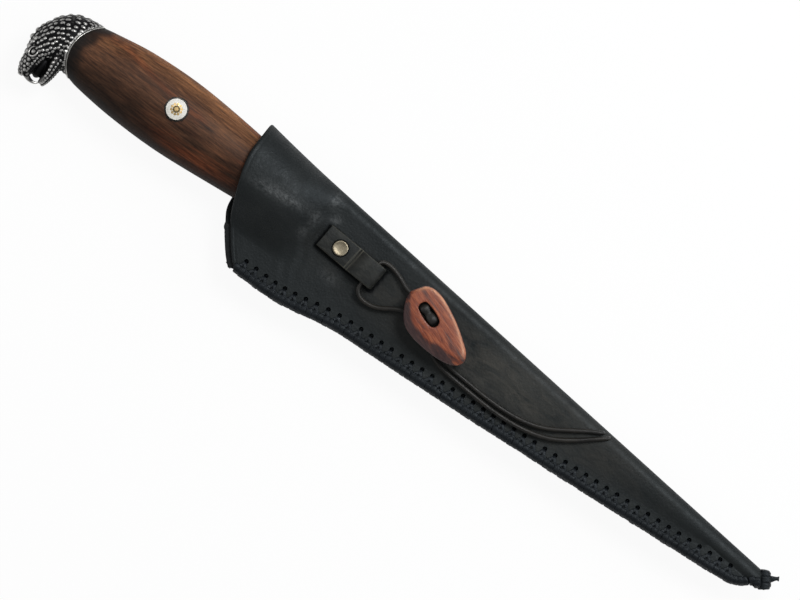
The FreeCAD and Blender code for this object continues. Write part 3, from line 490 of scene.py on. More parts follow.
def rounded(wide, thick, corner, steps=3):
    """A rounded rectangle as (across, out) pairs."""
    ring = []
    for cx, cy, start in ((1, 1, 0), (-1, 1, 90), (-1, -1, 180), (1, -1, 270)):
        for k in range(steps + 1):
            a = math.radians(start + 90 * k / steps)
            ring.append((cx * (wide / 2 - corner) + corner * math.cos(a),
                         cy * (thick / 2 - corner) + corner * math.sin(a)))
    return ring


def lathe(profile, centre, axis, steps=48):
    """Turns (radius, height) pairs round an axis."""
    axis = unit(axis)
    side = unit(np.cross(axis, (0.3, 1, 0.2)))
    other = np.cross(axis, side)
    points = []
    for r, h in profile:
        for k in range(steps):
            a = 2 * math.pi * k / steps
            points.append(np.asarray(centre) + axis * h + (side * math.cos(a) + other * math.sin(a)) * r)
    faces = grid_faces(len(profile), steps, wrap=True) + end_faces(len(profile), steps)
    return np.array(points), faces


def ball(centre, axes, radii, steps=10):
    """An ellipsoid with its own axes."""
    points = []
    for i in range(steps + 1):
        a = math.pi * i / steps
        for k in range(2 * steps):
            b = math.pi * k / steps
            d = (math.cos(a), math.sin(a) * math.cos(b), math.sin(a) * math.sin(b))
            points.append(np.asarray(centre) + sum(axes[m] * d[m] * radii[m] for m in range(3)))
    return np.array(points), grid_faces(steps + 1, 2 * steps, wrap=True)


def soft_noise(points, scale, seed=0.0):
    return np.array([noise.noise(Vector((p[0] / scale + seed, p[1] / scale, p[2] / scale)))
                     for p in points])


# --- the sheath's surface ----------------------------------------------------------------

def smooth_step(a, b, x):
    share = np.clip((x - a) / (b - a), 0, 1)
    return share * share * (3 - 2 * share)


def spine_line(x):
    return SPINE_HIGH - SPINE_FALL * (x - GUARD)


def fold_y(x):
    """The outside of the fold, which flares a little at the mouth."""
    flare = np.maximum(0.0, (GUARD + 7 - x) / MOUTH_REACH)
    return spine_line(x) + 0.7 * flare ** 2


def blade_spine(x):
    return spine_line(x) - LEATHER - 1.6


def blade_edge(x):
    share = np.clip((x - HEEL) / (TIP - HEEL), 0, 1)
    return blade_spine(np.maximum(x, HEEL)) - BLADE_HIGH * (1 - share ** 1.12)


def leather_edge(x):
    margin = EDGE_MARGIN + MOUTH_MARGIN * (1 - smooth_step(HEEL - 2, HEEL + 36, x))
    round_tip = 6.0 * np.clip((x - TIP + 2) / (TIP_END - TIP + 2), 0, 1) ** 2.2
    return blade_edge(x) - margin + round_tip


def room(x):
    """Half the room inside, from the handle's to the blade's."""
    falling = smooth_step(GUARD - 9, GUARD + 12, x)
    return HANDLE_ROOM + (BLADE_ROOM - HANDLE_ROOM) * falling - 0.5 * smooth_step(TIP - 60, TIP, x)


def crown_y(x):
    """The height at which the panels stop bulging and turn into the fold."""
    blade = fold_y(x) - LEATHER - 2.2
    return HANDLE_AXIS + 0.5 + (blade - HANDLE_AXIS - 0.5) * smooth_step(GUARD - 2, GUARD + 14, x)


def panel(x, where, out):
    """Points of one panel: where runs 0..1 over the fold, 1..2 down to the welt and 2..3
    over the laced margin; out is the distance outside the lining."""
    top, crown, tall = fold_y(x) - LEATHER, crown_y(x), room(x)
    low = np.minimum(blade_edge(np.minimum(x, TIP)) - 1.0, crown - 2.5)
    edge = np.minimum(leather_edge(x), low - 0.5)
    a = np.clip(where, 0, 1) * math.pi / 2
    q = np.clip(where - 1, 0, 1)
    r = np.clip(where - 2, 0, 1)
    bell = (1 + np.cos(math.pi * q ** 1.2)) / 2
    y = np.where(where < 1, crown + (top - crown) * np.cos(a), crown - q * (crown - low))
    z = np.where(where < 1, tall * np.sin(a), WELT + (tall - WELT) * bell)
    ty = np.where(where < 1, -(top - crown) * np.sin(a), -(crown - low))
    drop = (tall - WELT) * math.pi * 0.6 * np.maximum(q, 1e-6) ** 0.2 * np.sin(math.pi * q ** 1.2)
    tz = np.where(where < 1, tall * np.cos(a), -drop)
    y = np.where(where > 2, low - r * (low - edge), y)
    z = np.where(where > 2, WELT, z)
    ty, tz = np.where(where > 2, -1.0, ty), np.where(where > 2, 0.0, tz)
    size = np.hypot(ty, tz)
    return y + tz / size * out, z - ty / size * out


MOUTH_LINE = catmull([(-MOUTH_REACH, 40.0), (-MOUTH_REACH, 24.0)] + MOUTH + [(-8.6, -31.0)], 160)


def mouth_x(y, step=0.0):
    """Where the mouth's edge stands at a height; step moves its lower part outwards."""
    order = np.argsort(MOUTH_LINE[:, 1])
    x = np.interp(y, MOUTH_LINE[order, 1], MOUTH_LINE[order, 0]) + GUARD
    return x - step * smooth_step(3.0, -11.0, y)


def tip_x(y):
    """The rounded end of the leather."""
    return TIP_END + TIP_REACH - 0.012 * np.maximum(0.0, y - 1.0) ** 2


def shell_grid():
    """Rows from mouth to tip, columns from the front's laced edge over the fold to the back."""
    rim = [0, 0.1, 0.3, 0.6, 1.0, 1.4, 1.7, 2.0, 2.3, 2.7, 3.4, 4.4]
    body = np.linspace(0, 1, 236)[1:]
    margin = [0, 0.1, 0.3, 0.6, 1.1, 1.8, 3.0, 4.5, 6.5]
    half = np.concatenate([np.linspace(0, 1, 13)[:-1], 1 + np.linspace(0, 1, 40)[:-1],
                           3 - np.array(margin[::-1]) / MARGIN_WIDE])
    where = np.concatenate([half[::-1], half[1:]])
    side = np.concatenate([np.ones(len(half)), -np.ones(len(half) - 1)])
    step = np.where(side < 0, WELT_STEP, 0.0)
    y = np.full(len(where), 0.0)
    rows = []
    for d in rim + [None] * len(body):
        k = len(rows) - len(rim)
        x = np.full(len(where), GUARD - 20.0)
        for _ in range(12):
            y, _z = panel(x, where, LEATHER / 2)
            start, end = mouth_x(y, step), tip_x(y)
            if d is not None:
                x = start + d
            else:
                x = start + rim[-1] + (end - start - rim[-1]) * body[k]
        rows.append(x)
    return np.array(rows), where, side, step


def tab_shadow(x, y):
    """Painted shadow in the leather along three sides of the strap tab."""
    turn = math.radians(TAB_TURN)
    run = (x - TAB_AT[0]) * math.cos(turn) + (y - TAB_AT[1]) * math.sin(turn)
    side = (y - TAB_AT[1]) * math.cos(turn) - (x - TAB_AT[0]) * math.sin(turn)
    past = np.maximum(np.maximum(-run, run - TAB_LONG), 0)
    low = np.maximum(-side - TAB_WIDE / 2, 0)
    high = np.maximum(side - TAB_WIDE / 2, 0)
    return smooth_step(2.1, 0.8, np.hypot(past, low)) * np.exp(-(high / 0.4) ** 2)


def make_shell(material):
    """The folded leather, its edges rounded off, with waves, a groove and wrinkles at the mouth."""
    rows, where, side, step = shell_grid()
    n, m = rows.shape
    where_all, side_all = np.tile(where, (n, 1)), np.tile(side, (n, 1))
    mid_y, _z = panel(rows, where_all, LEATHER / 2)
    from_mouth = rows - mouth_x(mid_y, np.tile(step, (n, 1)))
    from_edge = MARGIN_WIDE * np.where(where_all > 2, 3 - where_all, 1.0)
    from_tip = tip_x(mid_y) - rows
    near = np.minimum(np.minimum(from_mouth, from_edge), from_tip)
    share = np.clip(near / 1.0, 0, 1)
    bulk = np.sqrt(np.clip(1 - (1 - share) ** 2, 0, 1))
    flat = np.stack([rows.ravel(), mid_y.ravel(), (side_all * 6).ravel()], 1)
    wave = (0.16 * soft_noise(flat, 17.0) + 0.07 * soft_noise(flat, 6.0, 9.0)).reshape(n, m)
    groove = -0.12 * np.exp(-((from_mouth - 2.1) / 0.34) ** 2) * (side_all > 0)
    fold_wave = np.sin((rows + 0.35 * mid_y + 49) * 1.05 + 1.4 * np.sin(mid_y * 0.21))
    wrinkle = 0.24 * fold_wave * np.exp(-((rows - HEEL) / 6.0) ** 2)
    wrinkle *= smooth_step(0.3, 1.0, where_all)
    wrinkle *= np.where(where_all > 2, 0, 1)
    press = -0.22 * np.exp(-((mid_y - blade_edge(rows) + 2.2) / 1.3) ** 2) * (rows > HEEL)
    detail = (wave + groove + wrinkle + press) * bulk * smooth_step(0.0, 0.5, where_all)
    skins = []
    for out in (1, -1):
        offset = LEATHER / 2 + out * LEATHER / 2 * bulk + (detail if out > 0 else 0)
        y, z = panel(rows, where_all, offset)
        z = np.maximum(z * side_all, -REST)
        skins.append(np.stack([rows, y, z], 2).reshape(-1, 3))
    points = np.concatenate(skins)
    faces = grid_faces(n, m) + grid_faces(n, m, start=n * m, flip=True)
    shell = add_object("sheath_leather", points, faces, material, "sheath", ["sheath_shell"])
    paint_shell(shell, rows, mid_y, side_all > 0, from_mouth, near)
    weld(shell, 0.00002)
    return shell


def paint_shell(shell, rows, mid_y, front, from_mouth, near):
    """Wear along the middle and the rims, dusty marks with a painted highlight along the bulge's ridge,
    painted shadow by the tab and painted shade along the mouth's rim.
    """
    worn = np.exp(-((rows - 42) / 62) ** 2 - ((mid_y - 1.0) / 10) ** 2) * 0.9
    rim = 0.4 * np.exp(-(near / 0.7) ** 2) * (from_mouth > 2)
    wear = np.clip(worn + rim, 0, 1).ravel()
    paint(shell, "wear", np.concatenate([wear, wear * 0.3]))
    # a painted highlight along the bulge's ridge, mottled like the dusty marks
    ridge = 7.0 + 0.12 * (rows + 81)
    dust_and_highlight = np.exp(-((rows + 69) / 12) ** 2 - ((mid_y - ridge) / 2.2) ** 2)
    for x, y, long, wide, share in DUST_AND_HIGHLIGHT:
        dust_and_highlight = dust_and_highlight + share * np.exp(-((rows - x) / long) ** 2 - ((mid_y - y) / wide) ** 2)
    dust_and_highlight = (dust_and_highlight * front).ravel()
    paint(shell, "dust_and_highlight", np.concatenate([dust_and_highlight, dust_and_highlight * 0]))
    shade = tab_shadow(rows, mid_y) * front + 0.75 * np.exp(-(from_mouth / 0.7) ** 2)
    paint(shell, "shade", np.concatenate([shade.ravel(), shade.ravel()]))


def weld(obj, distance):
    """Joins points that lie together."""
    work = bmesh.new()
    work.from_mesh(obj.data)
    bmesh.ops.remove_doubles(work, verts=work.verts, dist=distance)
    bmesh.ops.recalc_face_normals(work, faces=work.faces)
    work.to_mesh(obj.data)
    work.free()


def edge_at(x, half=0.5):
    """Place on the leather's edge and the direction along it, over a short stretch."""
    slope = float(leather_edge(x + half) - leather_edge(x - half)) / (2 * half)
    return np.array([x, float(leather_edge(x)), 0]), unit((1, slope, 0))


def edge_places():
    """Lacing: place on the leather's edge, direction along it and the hole's centre."""
    places, x = [], GUARD - 7.0
    while x < TIP + 2:
        at, along = edge_at(x)
        places.append((at, along, at + np.array([-along[1], along[0], 0]) * INSET))
        x += PITCH * along[0]
    return places


def drill(obj, cutters, crisp=True):
    """Cuts closed shapes out of a mesh."""
    points, faces = joined(cutters)
    mesh = bpy.data.meshes.new("cutters")
    mesh.from_pydata([tuple(p) for p in to_frame(points)], [], faces)
    cutter = bpy.data.objects.new("cutters", mesh)
    bpy.context.collection.objects.link(cutter)
    cut = obj.modifiers.new("holes", "BOOLEAN")
    cut.object, cut.operation, cut.solver = cutter, "DIFFERENCE", "EXACT"
    apply_modifiers(obj)
    if crisp:
        obj.data.set_sharp_from_angle(angle=math.radians(40))
    bpy.data.objects.remove(cutter)


def punch_holes(shell):
    """Cuts the lacing holes through both panels."""
    drill(shell, [lathe([(HOLE, -6), (HOLE, 6)], hole, UP, 16) for _at, _along, hole in edge_places()])


def apply_modifiers(obj):
    """Makes the shown mesh the object's own."""
    graph = bpy.context.evaluated_depsgraph_get()
    mesh = bpy.data.meshes.new_from_object(obj.evaluated_get(graph), depsgraph=graph)
    obj.modifiers.clear()
    obj.data = mesh


# --- the lacing --------------------------------------------------------------------------

def thong(at, along, route, wide, thick, seed, count=20):
    """One pass of lace from (along, inset, height) points at a hole."""
    out = np.array([along[1], -along[0], 0])
    shake = [noise.noise(Vector((seed * 1.7, k * 2.3, 0.5))) for k in range(len(route))]
    lift = [noise.noise(Vector((seed * 2.9, k * 1.3, 7.5))) for k in range(len(route))]
    spots = [at + along * (a + 0.35 * s) - out * (b + 0.25 * t) + np.array([0, 0, c + 0.12 * t])
             for (a, b, c), s, t in zip(route, shake, lift)]
    line = catmull(spots, count)
    core = at - out * 2.6
    normals = line - core - along * np.dot(line - core, along)[:, None]
    return swept(line, normals, rounded(wide, thick, thick * 0.49, 4))


def mirrored(route):
    """The same pass on the back."""
    return [(a, b, -c) for a, b, c in route]


def make_lacing(material, hole_shade):
    """A double-loop plait: crossing passes from every hole and two wraps over the edge."""
    top = WELT + LEATHER
    ahead = [(0.1, INSET - 0.4, top - 1.3), (0.2, INSET - 1.0, top + 0.15), (0.8, 3.4, top + 0.34),
             (1.7, 1.9, top + 0.40), (2.5, 0.6, top + 0.15)]
    back = [(-0.1, INSET - 0.4, top - 1.4), (-0.3, INSET - 1.1, top + 0.12), (-1.0, 3.3, top + 0.30),
            (-1.9, 1.9, top + 0.62), (-2.6, 0.7, top + 0.30)]
    chain = [(-2.7, 2.3, top + 0.40), (-1.3, 1.5, top + 0.80), (0.0, 1.9, top + 0.62),
             (1.3, 2.4, top + 0.80), (2.7, 1.7, top + 0.40)]
    chained, wrapped = (1.45, 0.66), (2.75, 1.25)
    wrap = [(-0.9, 2.6, top + 0.20), (-0.5, 1.2, top + 0.62), (-0.1, -0.10, 3.0), (0.1, -0.62, 0),
            (0.4, -0.10, -3.0), (0.7, 1.2, -top - 0.62), (1.0, 2.6, -top - 0.20)]
    parts, plugs = [], []
    for i, (at, along, hole) in enumerate(edge_places()):
        for k, route in enumerate((ahead, back, chain)):
            parts.append(thong(at, along, route, *chained, i + 90 * k, 14))
            parts.append(thong(at, along, mirrored(route), *chained, i + 90 * k + 45, 14))
        for k in (0, 1):
            middle = at + along * PITCH * (0.5 * k - 0.25)
            parts.append(thong(middle, along, wrap, *wrapped, i + 300 + 100 * k))
        # near-black lace in each hole, painted as the hole's shade
        plugs.append(lathe([(0.02, -2.9), (PLUG, -2.9), (PLUG, 2.9), (0.02, 2.9)], hole, UP, 14))
    for k, x in enumerate(TIP + np.array([3.0, 5.3, 7.3, 9.0])):
        parts.append(thong(*edge_at(x, 0.4), wrap, *LAST_WRAP, 600 + k))
    for k, place in enumerate(LAST_WRAPS):
        parts.append(thong(np.array(place), unit((1, 0.7, 0)), wrap, *LAST_WRAP, 620 + k))
    points, faces = joined(parts)
    lace = add_object("edge_lace", points, faces, material, "sheath", ["edge_lacing"])
    paint(lace, "wear", 0.25 + 0.5 * soft_noise(points, 2.0))
    points, faces = joined(plugs)
    add_object("shaded_lace_in_holes", points, faces, hole_shade, "sheath")


def make_tip(material):
    """The lace's end knot, wrapped round the tip, and its short tapered tail."""
    centre = np.array([TIP_END + 3.9, float(leather_edge(TIP)) + 9.1, 0])
    axis = unit(np.array(KNOT_AXIS))
    side = np.array([-axis[1], axis[0], 0])
    turn = np.linspace(0, 2 * math.pi, 40, endpoint=False)[:, None]
    parts = [ball(centre, (axis, side, UP), (4.2, 2.3, 2.2))]
    for shift, radius, lean in KNOT_TURNS:
        line = (centre + axis * (shift + lean * radius * np.sin(turn + 1.0))
                + side * radius * np.cos(turn) + UP * 2.75 * np.sin(turn))
        away = line - centre - axis * np.dot(line - centre, axis)[:, None]
        parts.append(swept(line, away, rounded(2.0, 1.3, 0.62, 4), closed=True))
    points, faces = joined(parts)
    made = add_object("tip_lace_knot", points, faces, material, "sheath", ["tip_knot"])
    paint(made, "wear", 0.3 + 0.4 * soft_noise(points, 2.0))
    edge = float(leather_edge(TIP))
    tail = catmull([(TIP + x, edge + y, z) for x, y, z in LACE_TAIL], 24)

    def ring(u):
        wide = 3.4 - 1.9 * smooth_step(0, 0.75, u) + 0.5 * smooth_step(0.75, 0.95, u)
        return rounded(wide, 1.9 - 0.4 * u, 0.45)

    end = swept(tail, np.tile(UP, (24, 1)), ring)
    made = add_object("lace_end", *end, material, "sheath", ["lace_tail"])
    paint(made, "wear", np.full(len(end[0]), 0.3))


def make_welt(material):
    """The rough edge of the welt between the panels, seen at the mouth and along the edge."""
    outer = [(float(mouth_x(np.array(y), WELT_STEP)) - 0.15, y) for y in np.linspace(-14.5, -28.0, 46)]
    xs = np.linspace(outer[-1][0] + 1.2, TIP_END - 0.6, 200)
    outer += [(x, float(leather_edge(x)) + 0.25) for x in xs]
    line = np.array([(x, y, 0.0) for x, y in outer])
    rough = 0.50 * soft_noise(line, 1.1) + 0.22 * soft_noise(line, 0.45, 4.0)
    ahead = unit(np.gradient(line, axis=0))
    away = np.stack([ahead[:, 1], -ahead[:, 0], 0 * ahead[:, 0]], 1)
    line = line + away * rough[:, None] - away * 1.4
    points, faces = swept(line, np.tile(UP, (len(line), 1)), rounded(2.9, 2.36, 0.5))
    made = add_object("welt_edge", points, faces, material, "sheath")
    paint(made, "wear", 0.5 + 0.5 * soft_noise(points, 1.2))


# --- straps and rivets -------------------------------------------------------------------

def strap_piece(name, node, material, origin, turn, flip, length, wide, seed):
    """A strap folded round the cord: bottom layer, eye, and top layer back to its start."""
    flat, top, high = length - 14.0, 2 * STRAP + STRAP_EYE, 2 * STRAP
    end = length - top / 2
    mid = STRAP / 2
    route = [(0.0, mid), (flat * 0.5, mid), (flat, mid), (flat + 6, mid), (end - 0.8, mid)]
    for k in range(1, 8):
        a = math.radians(-90 + 180 * k / 8)
        r = top / 2 - mid
        route.append((end + r * math.cos(a), top / 2 + r * math.sin(a)))
    route += [(end - 0.8, top - mid), (flat + 5.6, top - mid), (flat + 3.6, top - mid - 0.55),
              (flat + 1.6, high - mid + 0.75), (flat, high - mid + 0.06), (flat * 0.5, high - mid),
              (0.0, high - mid)]
    side = catmull([(x, 0.0, z) for x, z in route], 300)
    side[:, 2] = np.maximum(side[:, 2], mid)
    ahead = unit(np.gradient(side, axis=0))
    normals = np.stack([-ahead[:, 2], 0 * ahead[:, 0], ahead[:, 0]], 1)

    def ring(u):
        slack = 0.22 * math.sin(9 * u + seed) + 0.12 * math.sin(23 * u + seed)
        return rounded(wide + slack, STRAP, 0.55, 4)

    points, faces = swept(side, normals, ring)
    c, s = math.cos(math.radians(turn)), math.sin(math.radians(turn))
    x, y, z = points[:, 0], points[:, 1], points[:, 2]
    if flip:
        x, z = -x, -z
    placed = np.stack([x * c - y * s, x * s + y * c, z], 1) + origin
    made = add_object(name, placed, faces, material, "sheath", [node])
    rub = 0.25 + 0.35 * soft_noise(placed, 3.0) + 0.30 * (np.abs(points[:, 1]) > wide / 2 - 0.7)
    paint(made, "wear", rub)
    # painted highlight along the top layer's edges, and pale crease lines
    line = 0.35 * (np.abs(points[:, 1]) > wide / 2 - 0.25) * (np.abs(points[:, 2]) > STRAP)
    for crease in (flat - 0.1, flat + 1.2):
        line = line + 0.8 * np.exp(-((np.abs(points[:, 0]) - crease - 0.05 * points[:, 1]) / 0.2) ** 2)
    paint(made, "line", line)


def rivet_cap(name, node, materials, at, out):
    """A dished cap in a ring of painted shade."""
    cap = lathe([(0.02, 0.55), (1.2, 0.56), (2.0, 0.62), (2.6, 0.78), (2.95, 0.86), (3.15, 0.74),
                 (3.25, 0.45), (3.25, 0.02)], at, out)
    made = add_object(name, *cap, materials[0], "sheath", [node])
    # a dark ring round the cap: painted shade
    shade_ring = lathe([(3.2, 0.0), (3.3, 0.22), (3.55, 0.2), (3.72, 0.02)], at, out)
    made = add_object(name + "_seat", *shade_ring, materials[1], "sheath")
    paint(made, "shade", np.full(len(shade_ring[0]), 0.9))


# --- cords -------------------------------------------------------------------------------

def nurbs(name, route, radius, material, body):
    """A round cord whose route is the control points of a smooth line."""
    curve = bpy.data.curves.new(name, "CURVE")
    curve.dimensions, curve.bevel_depth, curve.bevel_resolution = "3D", radius * 0.001, 5
    curve.resolution_u, curve.use_fill_caps = 10, True
    spline = curve.splines.new("NURBS")
    spline.points.add(len(route) - 1)
    for point, place in zip(spline.points, to_frame(route)):
        point.co = (*place, 1)
    spline.order_u = 3
    spline.use_endpoint_u = True
    curve.materials.append(material)
    made = bpy.data.objects.new(name, curve)
    bpy.context.collection.objects.link(made)
    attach(made, body)
    return made


def make_cords(material):
    for name, node, route, length in (("cord_loop", "loop_cord", LOOP_CORD, 0.092),
                                      ("cord_belt", "belt_cord", BELT_CORD, 0.265)):
        made = nurbs(name, route, CORD, material, "sheath")
        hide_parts(node)


# --- toggle ------------------------------------------------------------------------------

def toggle_place(points):
    """From the toggle's own frame to drawing millimetres."""
    c, s = math.cos(math.radians(TOGGLE_TURN)), math.sin(math.radians(TOGGLE_TURN))
    x, y, z = np.asarray(points, float).T
    return np.stack([x * c - y * s + SLOT[0], x * s + y * c + SLOT[1], z + PANEL_TOP + TOGGLE_LIFT], 1)


def closed_curve(points, count):
    """A smooth closed line through points."""
    pts = np.asarray(points, float)
    pts = np.vstack([pts, pts[:3]])
    line = catmull(pts, (len(pts) - 1) * 40 + 1)[40:-80]
    steps = np.concatenate([[0], np.cumsum(np.linalg.norm(np.diff(line, axis=0), axis=1))])
    want = np.linspace(0, steps[-1], count, endpoint=False)
    return np.stack([np.interp(want, steps, line[:, c]) for c in range(line.shape[1])], 1)


def make_toggle(material):
    """The drop: rings from the slot's floor over the top and the bevel to the underside."""
    count = 120
    outline = closed_curve(TOGGLE, count) * (TOGGLE_LONG, TOGGLE_WIDE)
    angles = np.arctan2(outline[:, 1], outline[:, 0])
    reach = np.clip(1.6 * np.cos(angles), -1, 1)
    slot = np.stack([3.0 * reach + 2.6 * np.cos(angles), 2.6 * np.sin(angles)], 1)
    middle = outline.mean(0)
    ahead = unit(np.roll(outline, -1, 0) - np.roll(outline, 1, 0))
    low_side = smooth_step(0.1, 0.9, np.abs(ahead[:, 0])) * (outline[:, 1] < middle[1])
    low_side = np.concatenate([low_side[-6:], low_side, low_side[:6]])
    low_side = np.convolve(low_side, np.ones(13) / 13, "valid")
    bevel = 0.86 - 0.34 * low_side
    drop = 1.3 + 1.5 * low_side

    def level(share, high):
        share, high = np.broadcast_to(share, count), np.broadcast_to(high, count)
        flat = outline * share[:, None] + slot * (1 - share)[:, None]
        return np.concatenate([flat, high[:, None]], 1)

    rows = [level(0.0, TOGGLE_THICK - SLOT_DEEP), level(0.0, TOGGLE_THICK - 0.45),
            level(0.015, TOGGLE_THICK - 0.15), level(0.05, TOGGLE_THICK)]
    rows += [level(bevel * t, TOGGLE_THICK - 0.35 * t ** 2) for t in (0.3, 0.55, 0.8, 0.95)]
    rows += [level(bevel + (1 - bevel) * t, TOGGLE_THICK - 0.35 - drop * t ** 1.25)
             for t in (0.05, 0.3, 0.6, 0.85, 0.97)]
    rows += [level(1.0, TOGGLE_THICK - 0.35 - drop - 0.5), level(1.0, 1.9), level(0.985, 0.9),
             level(0.95, 0.25), level(0.88, 0.0)]
    points = np.concatenate(rows)
    faces = grid_faces(len(rows), count, wrap=True)
    faces += [face[::-1] for face in end_faces(len(rows), count)]
    local = points.copy()
    points[:, 2] += 0.12 * soft_noise(local, 6.0) * (local[:, 2] > 1)
    made = add_object("toggle_drop", toggle_place(points), faces, material, "toggle", ["toggle"])
    tone = np.zeros(len(points))
    for k in range(len(rows)):
        tone[k * count:(k + 1) * count] = low_side * smooth_step(6, 10, k) + 0.25 * (k > 13)
    paint(made, "tone", tone)
    # painted highlight along the bevel on the right-hand side
    right = smooth_step(0.05, 0.35, (outline[:, 1] - middle[1]) / TOGGLE_WIDE)
    rise = np.array([math.exp(-((k - 9.0) / 1.6) ** 2) for k in range(len(rows))])
    paint(made, "pale", np.outer(rise, right).ravel())
    walls = np.array([1.0, 1.0, 0.35] + [0.0] * (len(rows) - 3))
    paint(made, "shade", np.repeat(walls, count))
    weld(made, 1e-7)
    soft = made.modifiers.new("round", "SUBSURF")
    soft.levels = soft.render_levels = 1
    apply_modifiers(made)


def make_bight(material):
    """The cord through the toggle, with a waist in the middle, and a cord-coloured sheet over the slot's
    floor, standing for the cord and the shade under it.
    """
    half, high = 4.0, TOGGLE_THICK - SLOT_DEEP + CORD + 0.35
    route = [(-half, 0, 0.5), (-half, 0, high - 1.6), (-half + 0.5, 0, high - 0.3), (-half + 1.8, 0, high),
             (0, 0, high - 0.35), (half - 1.8, 0, high), (half - 0.5, 0, high - 0.3),
             (half, 0, high - 1.6), (half, 0, 0.5)]
    line = catmull(toggle_place(route), 48)

    def ring(u):
        waist = 1 - 0.28 * math.exp(-((u - 0.46) / 0.07) ** 2)
        return [(2.15 * waist * math.cos(a), CORD * 1.05 * waist * math.sin(a))
                for a in np.linspace(0, 2 * math.pi, 20, endpoint=False)]

    bight = swept(line, np.tile(UP, (48, 1)) + 0.02, ring)
    along, across = unit(np.array([0.943, -0.332, 0])), unit(np.array([0.332, 0.943, 0]))
    # a flat cord-coloured sheet on the slot's floor: partly cord, partly painted shade
    floor = ball(toggle_place([(0, 0, TOGGLE_THICK - SLOT_DEEP)])[0], (along, across, UP), (5.3, 2.5, 0.35))
    add_object("toggle_bight", *joined([bight, floor]), material, "toggle", ["toggle_cord_bight"])


# --- handle ------------------------------------------------------------------------------

def wood_section(x):
    """Centre, half height and half thickness of the wood."""
    table = catmull(HANDLE, 140)
    share = (HANDLE_START - x) / HANDLE_LENGTH
    tall = np.interp(share, table[:, 0], table[:, 1]) * HANDLE_HIGH / 2
    wide = np.interp(share, table[:, 0], table[:, 2]) * HANDLE_THICK / 2
    centre = HANDLE_AXIS + np.interp(share, table[:, 0], table[:, 3])
    return centre, tall, wide


def butt_x(y, grow=0.0):
    """The domed butt of the wood, in plan."""
    return COLLAR_X + DOME - np.sqrt(np.maximum((DOME + grow) ** 2 - (y - NECK_Y) ** 2, 1.0))


def wood_ring(share, angles, grow=0.0, butt=0.0):
    """Points round the wood, a share of the way from the bolster to the butt."""
    x = np.full(len(angles), HANDLE_START - share * HANDLE_LENGTH)
    for _ in range(8):
        centre, tall, wide = wood_section(x)
        y = centre + (tall + grow) * np.cos(angles)
        x = HANDLE_START + share * (butt_x(y, butt) - HANDLE_START)
    centre, tall, wide = wood_section(x)
    return np.stack([x, centre + (tall + grow) * np.cos(angles), (wide + grow) * np.sin(angles)], 1)


def around_wood():
    return np.linspace(0, 2 * math.pi, 128, endpoint=False)


def make_handle(material):
    """The wood from the bolster to its domed butt, bored for the pin."""
    angles = around_wood()
    shares = np.concatenate([[0.0, 0.004], np.linspace(0.01, 0.99, 150), [0.995, 1.0]])
    rows = [wood_ring(s, angles, -0.4 if k == 0 else 0.0) for k, s in enumerate(shares)]
    points = np.concatenate(rows)
    n = len(angles)
    faces = grid_faces(len(rows), n, wrap=True) + end_faces(len(rows), n)
    made = add_object("handle_grip", points, faces, material, "knife", ["handle_wood"])
    centre, tall, _wide = wood_section(points[:, 0])
    height = (points[:, 1] - centre) / tall
    from_butt = points[:, 0] - butt_x(points[:, 1])
    tone = 0.50 + 0.34 * height + 0.12 * soft_noise(points, 12.0)
    tone = tone + 0.5 * smooth_step(0.78, 0.98, height) * smooth_step(8, 20, from_butt)
    tone = tone * (0.12 + 0.88 * smooth_step(1.0, 7.5, from_butt + 2.0 * soft_noise(points, 4.0)))
    paint(made, "tone", tone)
    paint(made, "ember", np.exp(-((points[:, 0] + 105) / 21) ** 2 - ((height + 0.50) / 0.24) ** 2))
    drill(made, [lathe([(PIN_BORE, -20), (PIN_BORE, 20)], PIN_AT, UP, 96)])


def make_collar(material):
    """The thin band over the butt; its section is outwards from the wood and along the knife."""
    angles = around_wood()
    section = ((-1.5, 0.10), (0.12, 0.10), (0.26, 0.22), (0.26, 0.52), (0.12, 0.66), (-1.5, 0.66))
    band = [wood_ring(1.0, angles, grow, butt) for grow, butt in section]
    faces = grid_faces(len(band), len(angles), wrap=True) + ring_faces(len(band), len(angles))
    add_object("collar_band", np.concatenate(band), faces, material, "knife", ["collar_ring"])


# --- snake head --------------------------------------------------------------------------

# (centre x, y, outward half width, inward half width, half thickness), from the middle of
# the collar: neck and skull, upper jaw, lower jaw.
SKULL = [(7.5, 0.4, 12.4, 12.5, 9.9), (2.5, 0.3, 12.0, 12.2, 9.8), (-2.0, -0.1, 11.3, 12.0, 9.9),
         (-5.6, -2.9, 9.7, 10.4, 9.8), (-8.0, -7.1, 8.2, 7.4, 9.7), (-9.6, -11.5, 6.1, 4.4, 9.2),
         (-10.1, -15.5, 4.4, 3.9, 7.8), (-10.2, -19.0, 3.5, 3.2, 6.2), (-10.0, -21.6, 2.5, 2.4, 4.6),
         (-9.6, -22.9, 1.3, 1.3, 2.6)]
JAW = [(-2.6, -6.0, 3.4, 5.0, 8.6), (-2.2, -11.5, 3.1, 3.6, 8.0), (-1.7, -15.8, 2.3, 2.5, 6.6),
       (-1.9, -19.4, 1.7, 1.9, 4.8), (-2.2, -21.6, 1.2, 1.2, 3.0)]
MOUTH_HOLE, MOUTH_SIZE = (-5.9, -14.6), (3.0, 7.8)  # the open mouth, filled and painted dark as shade, from the collar's middle
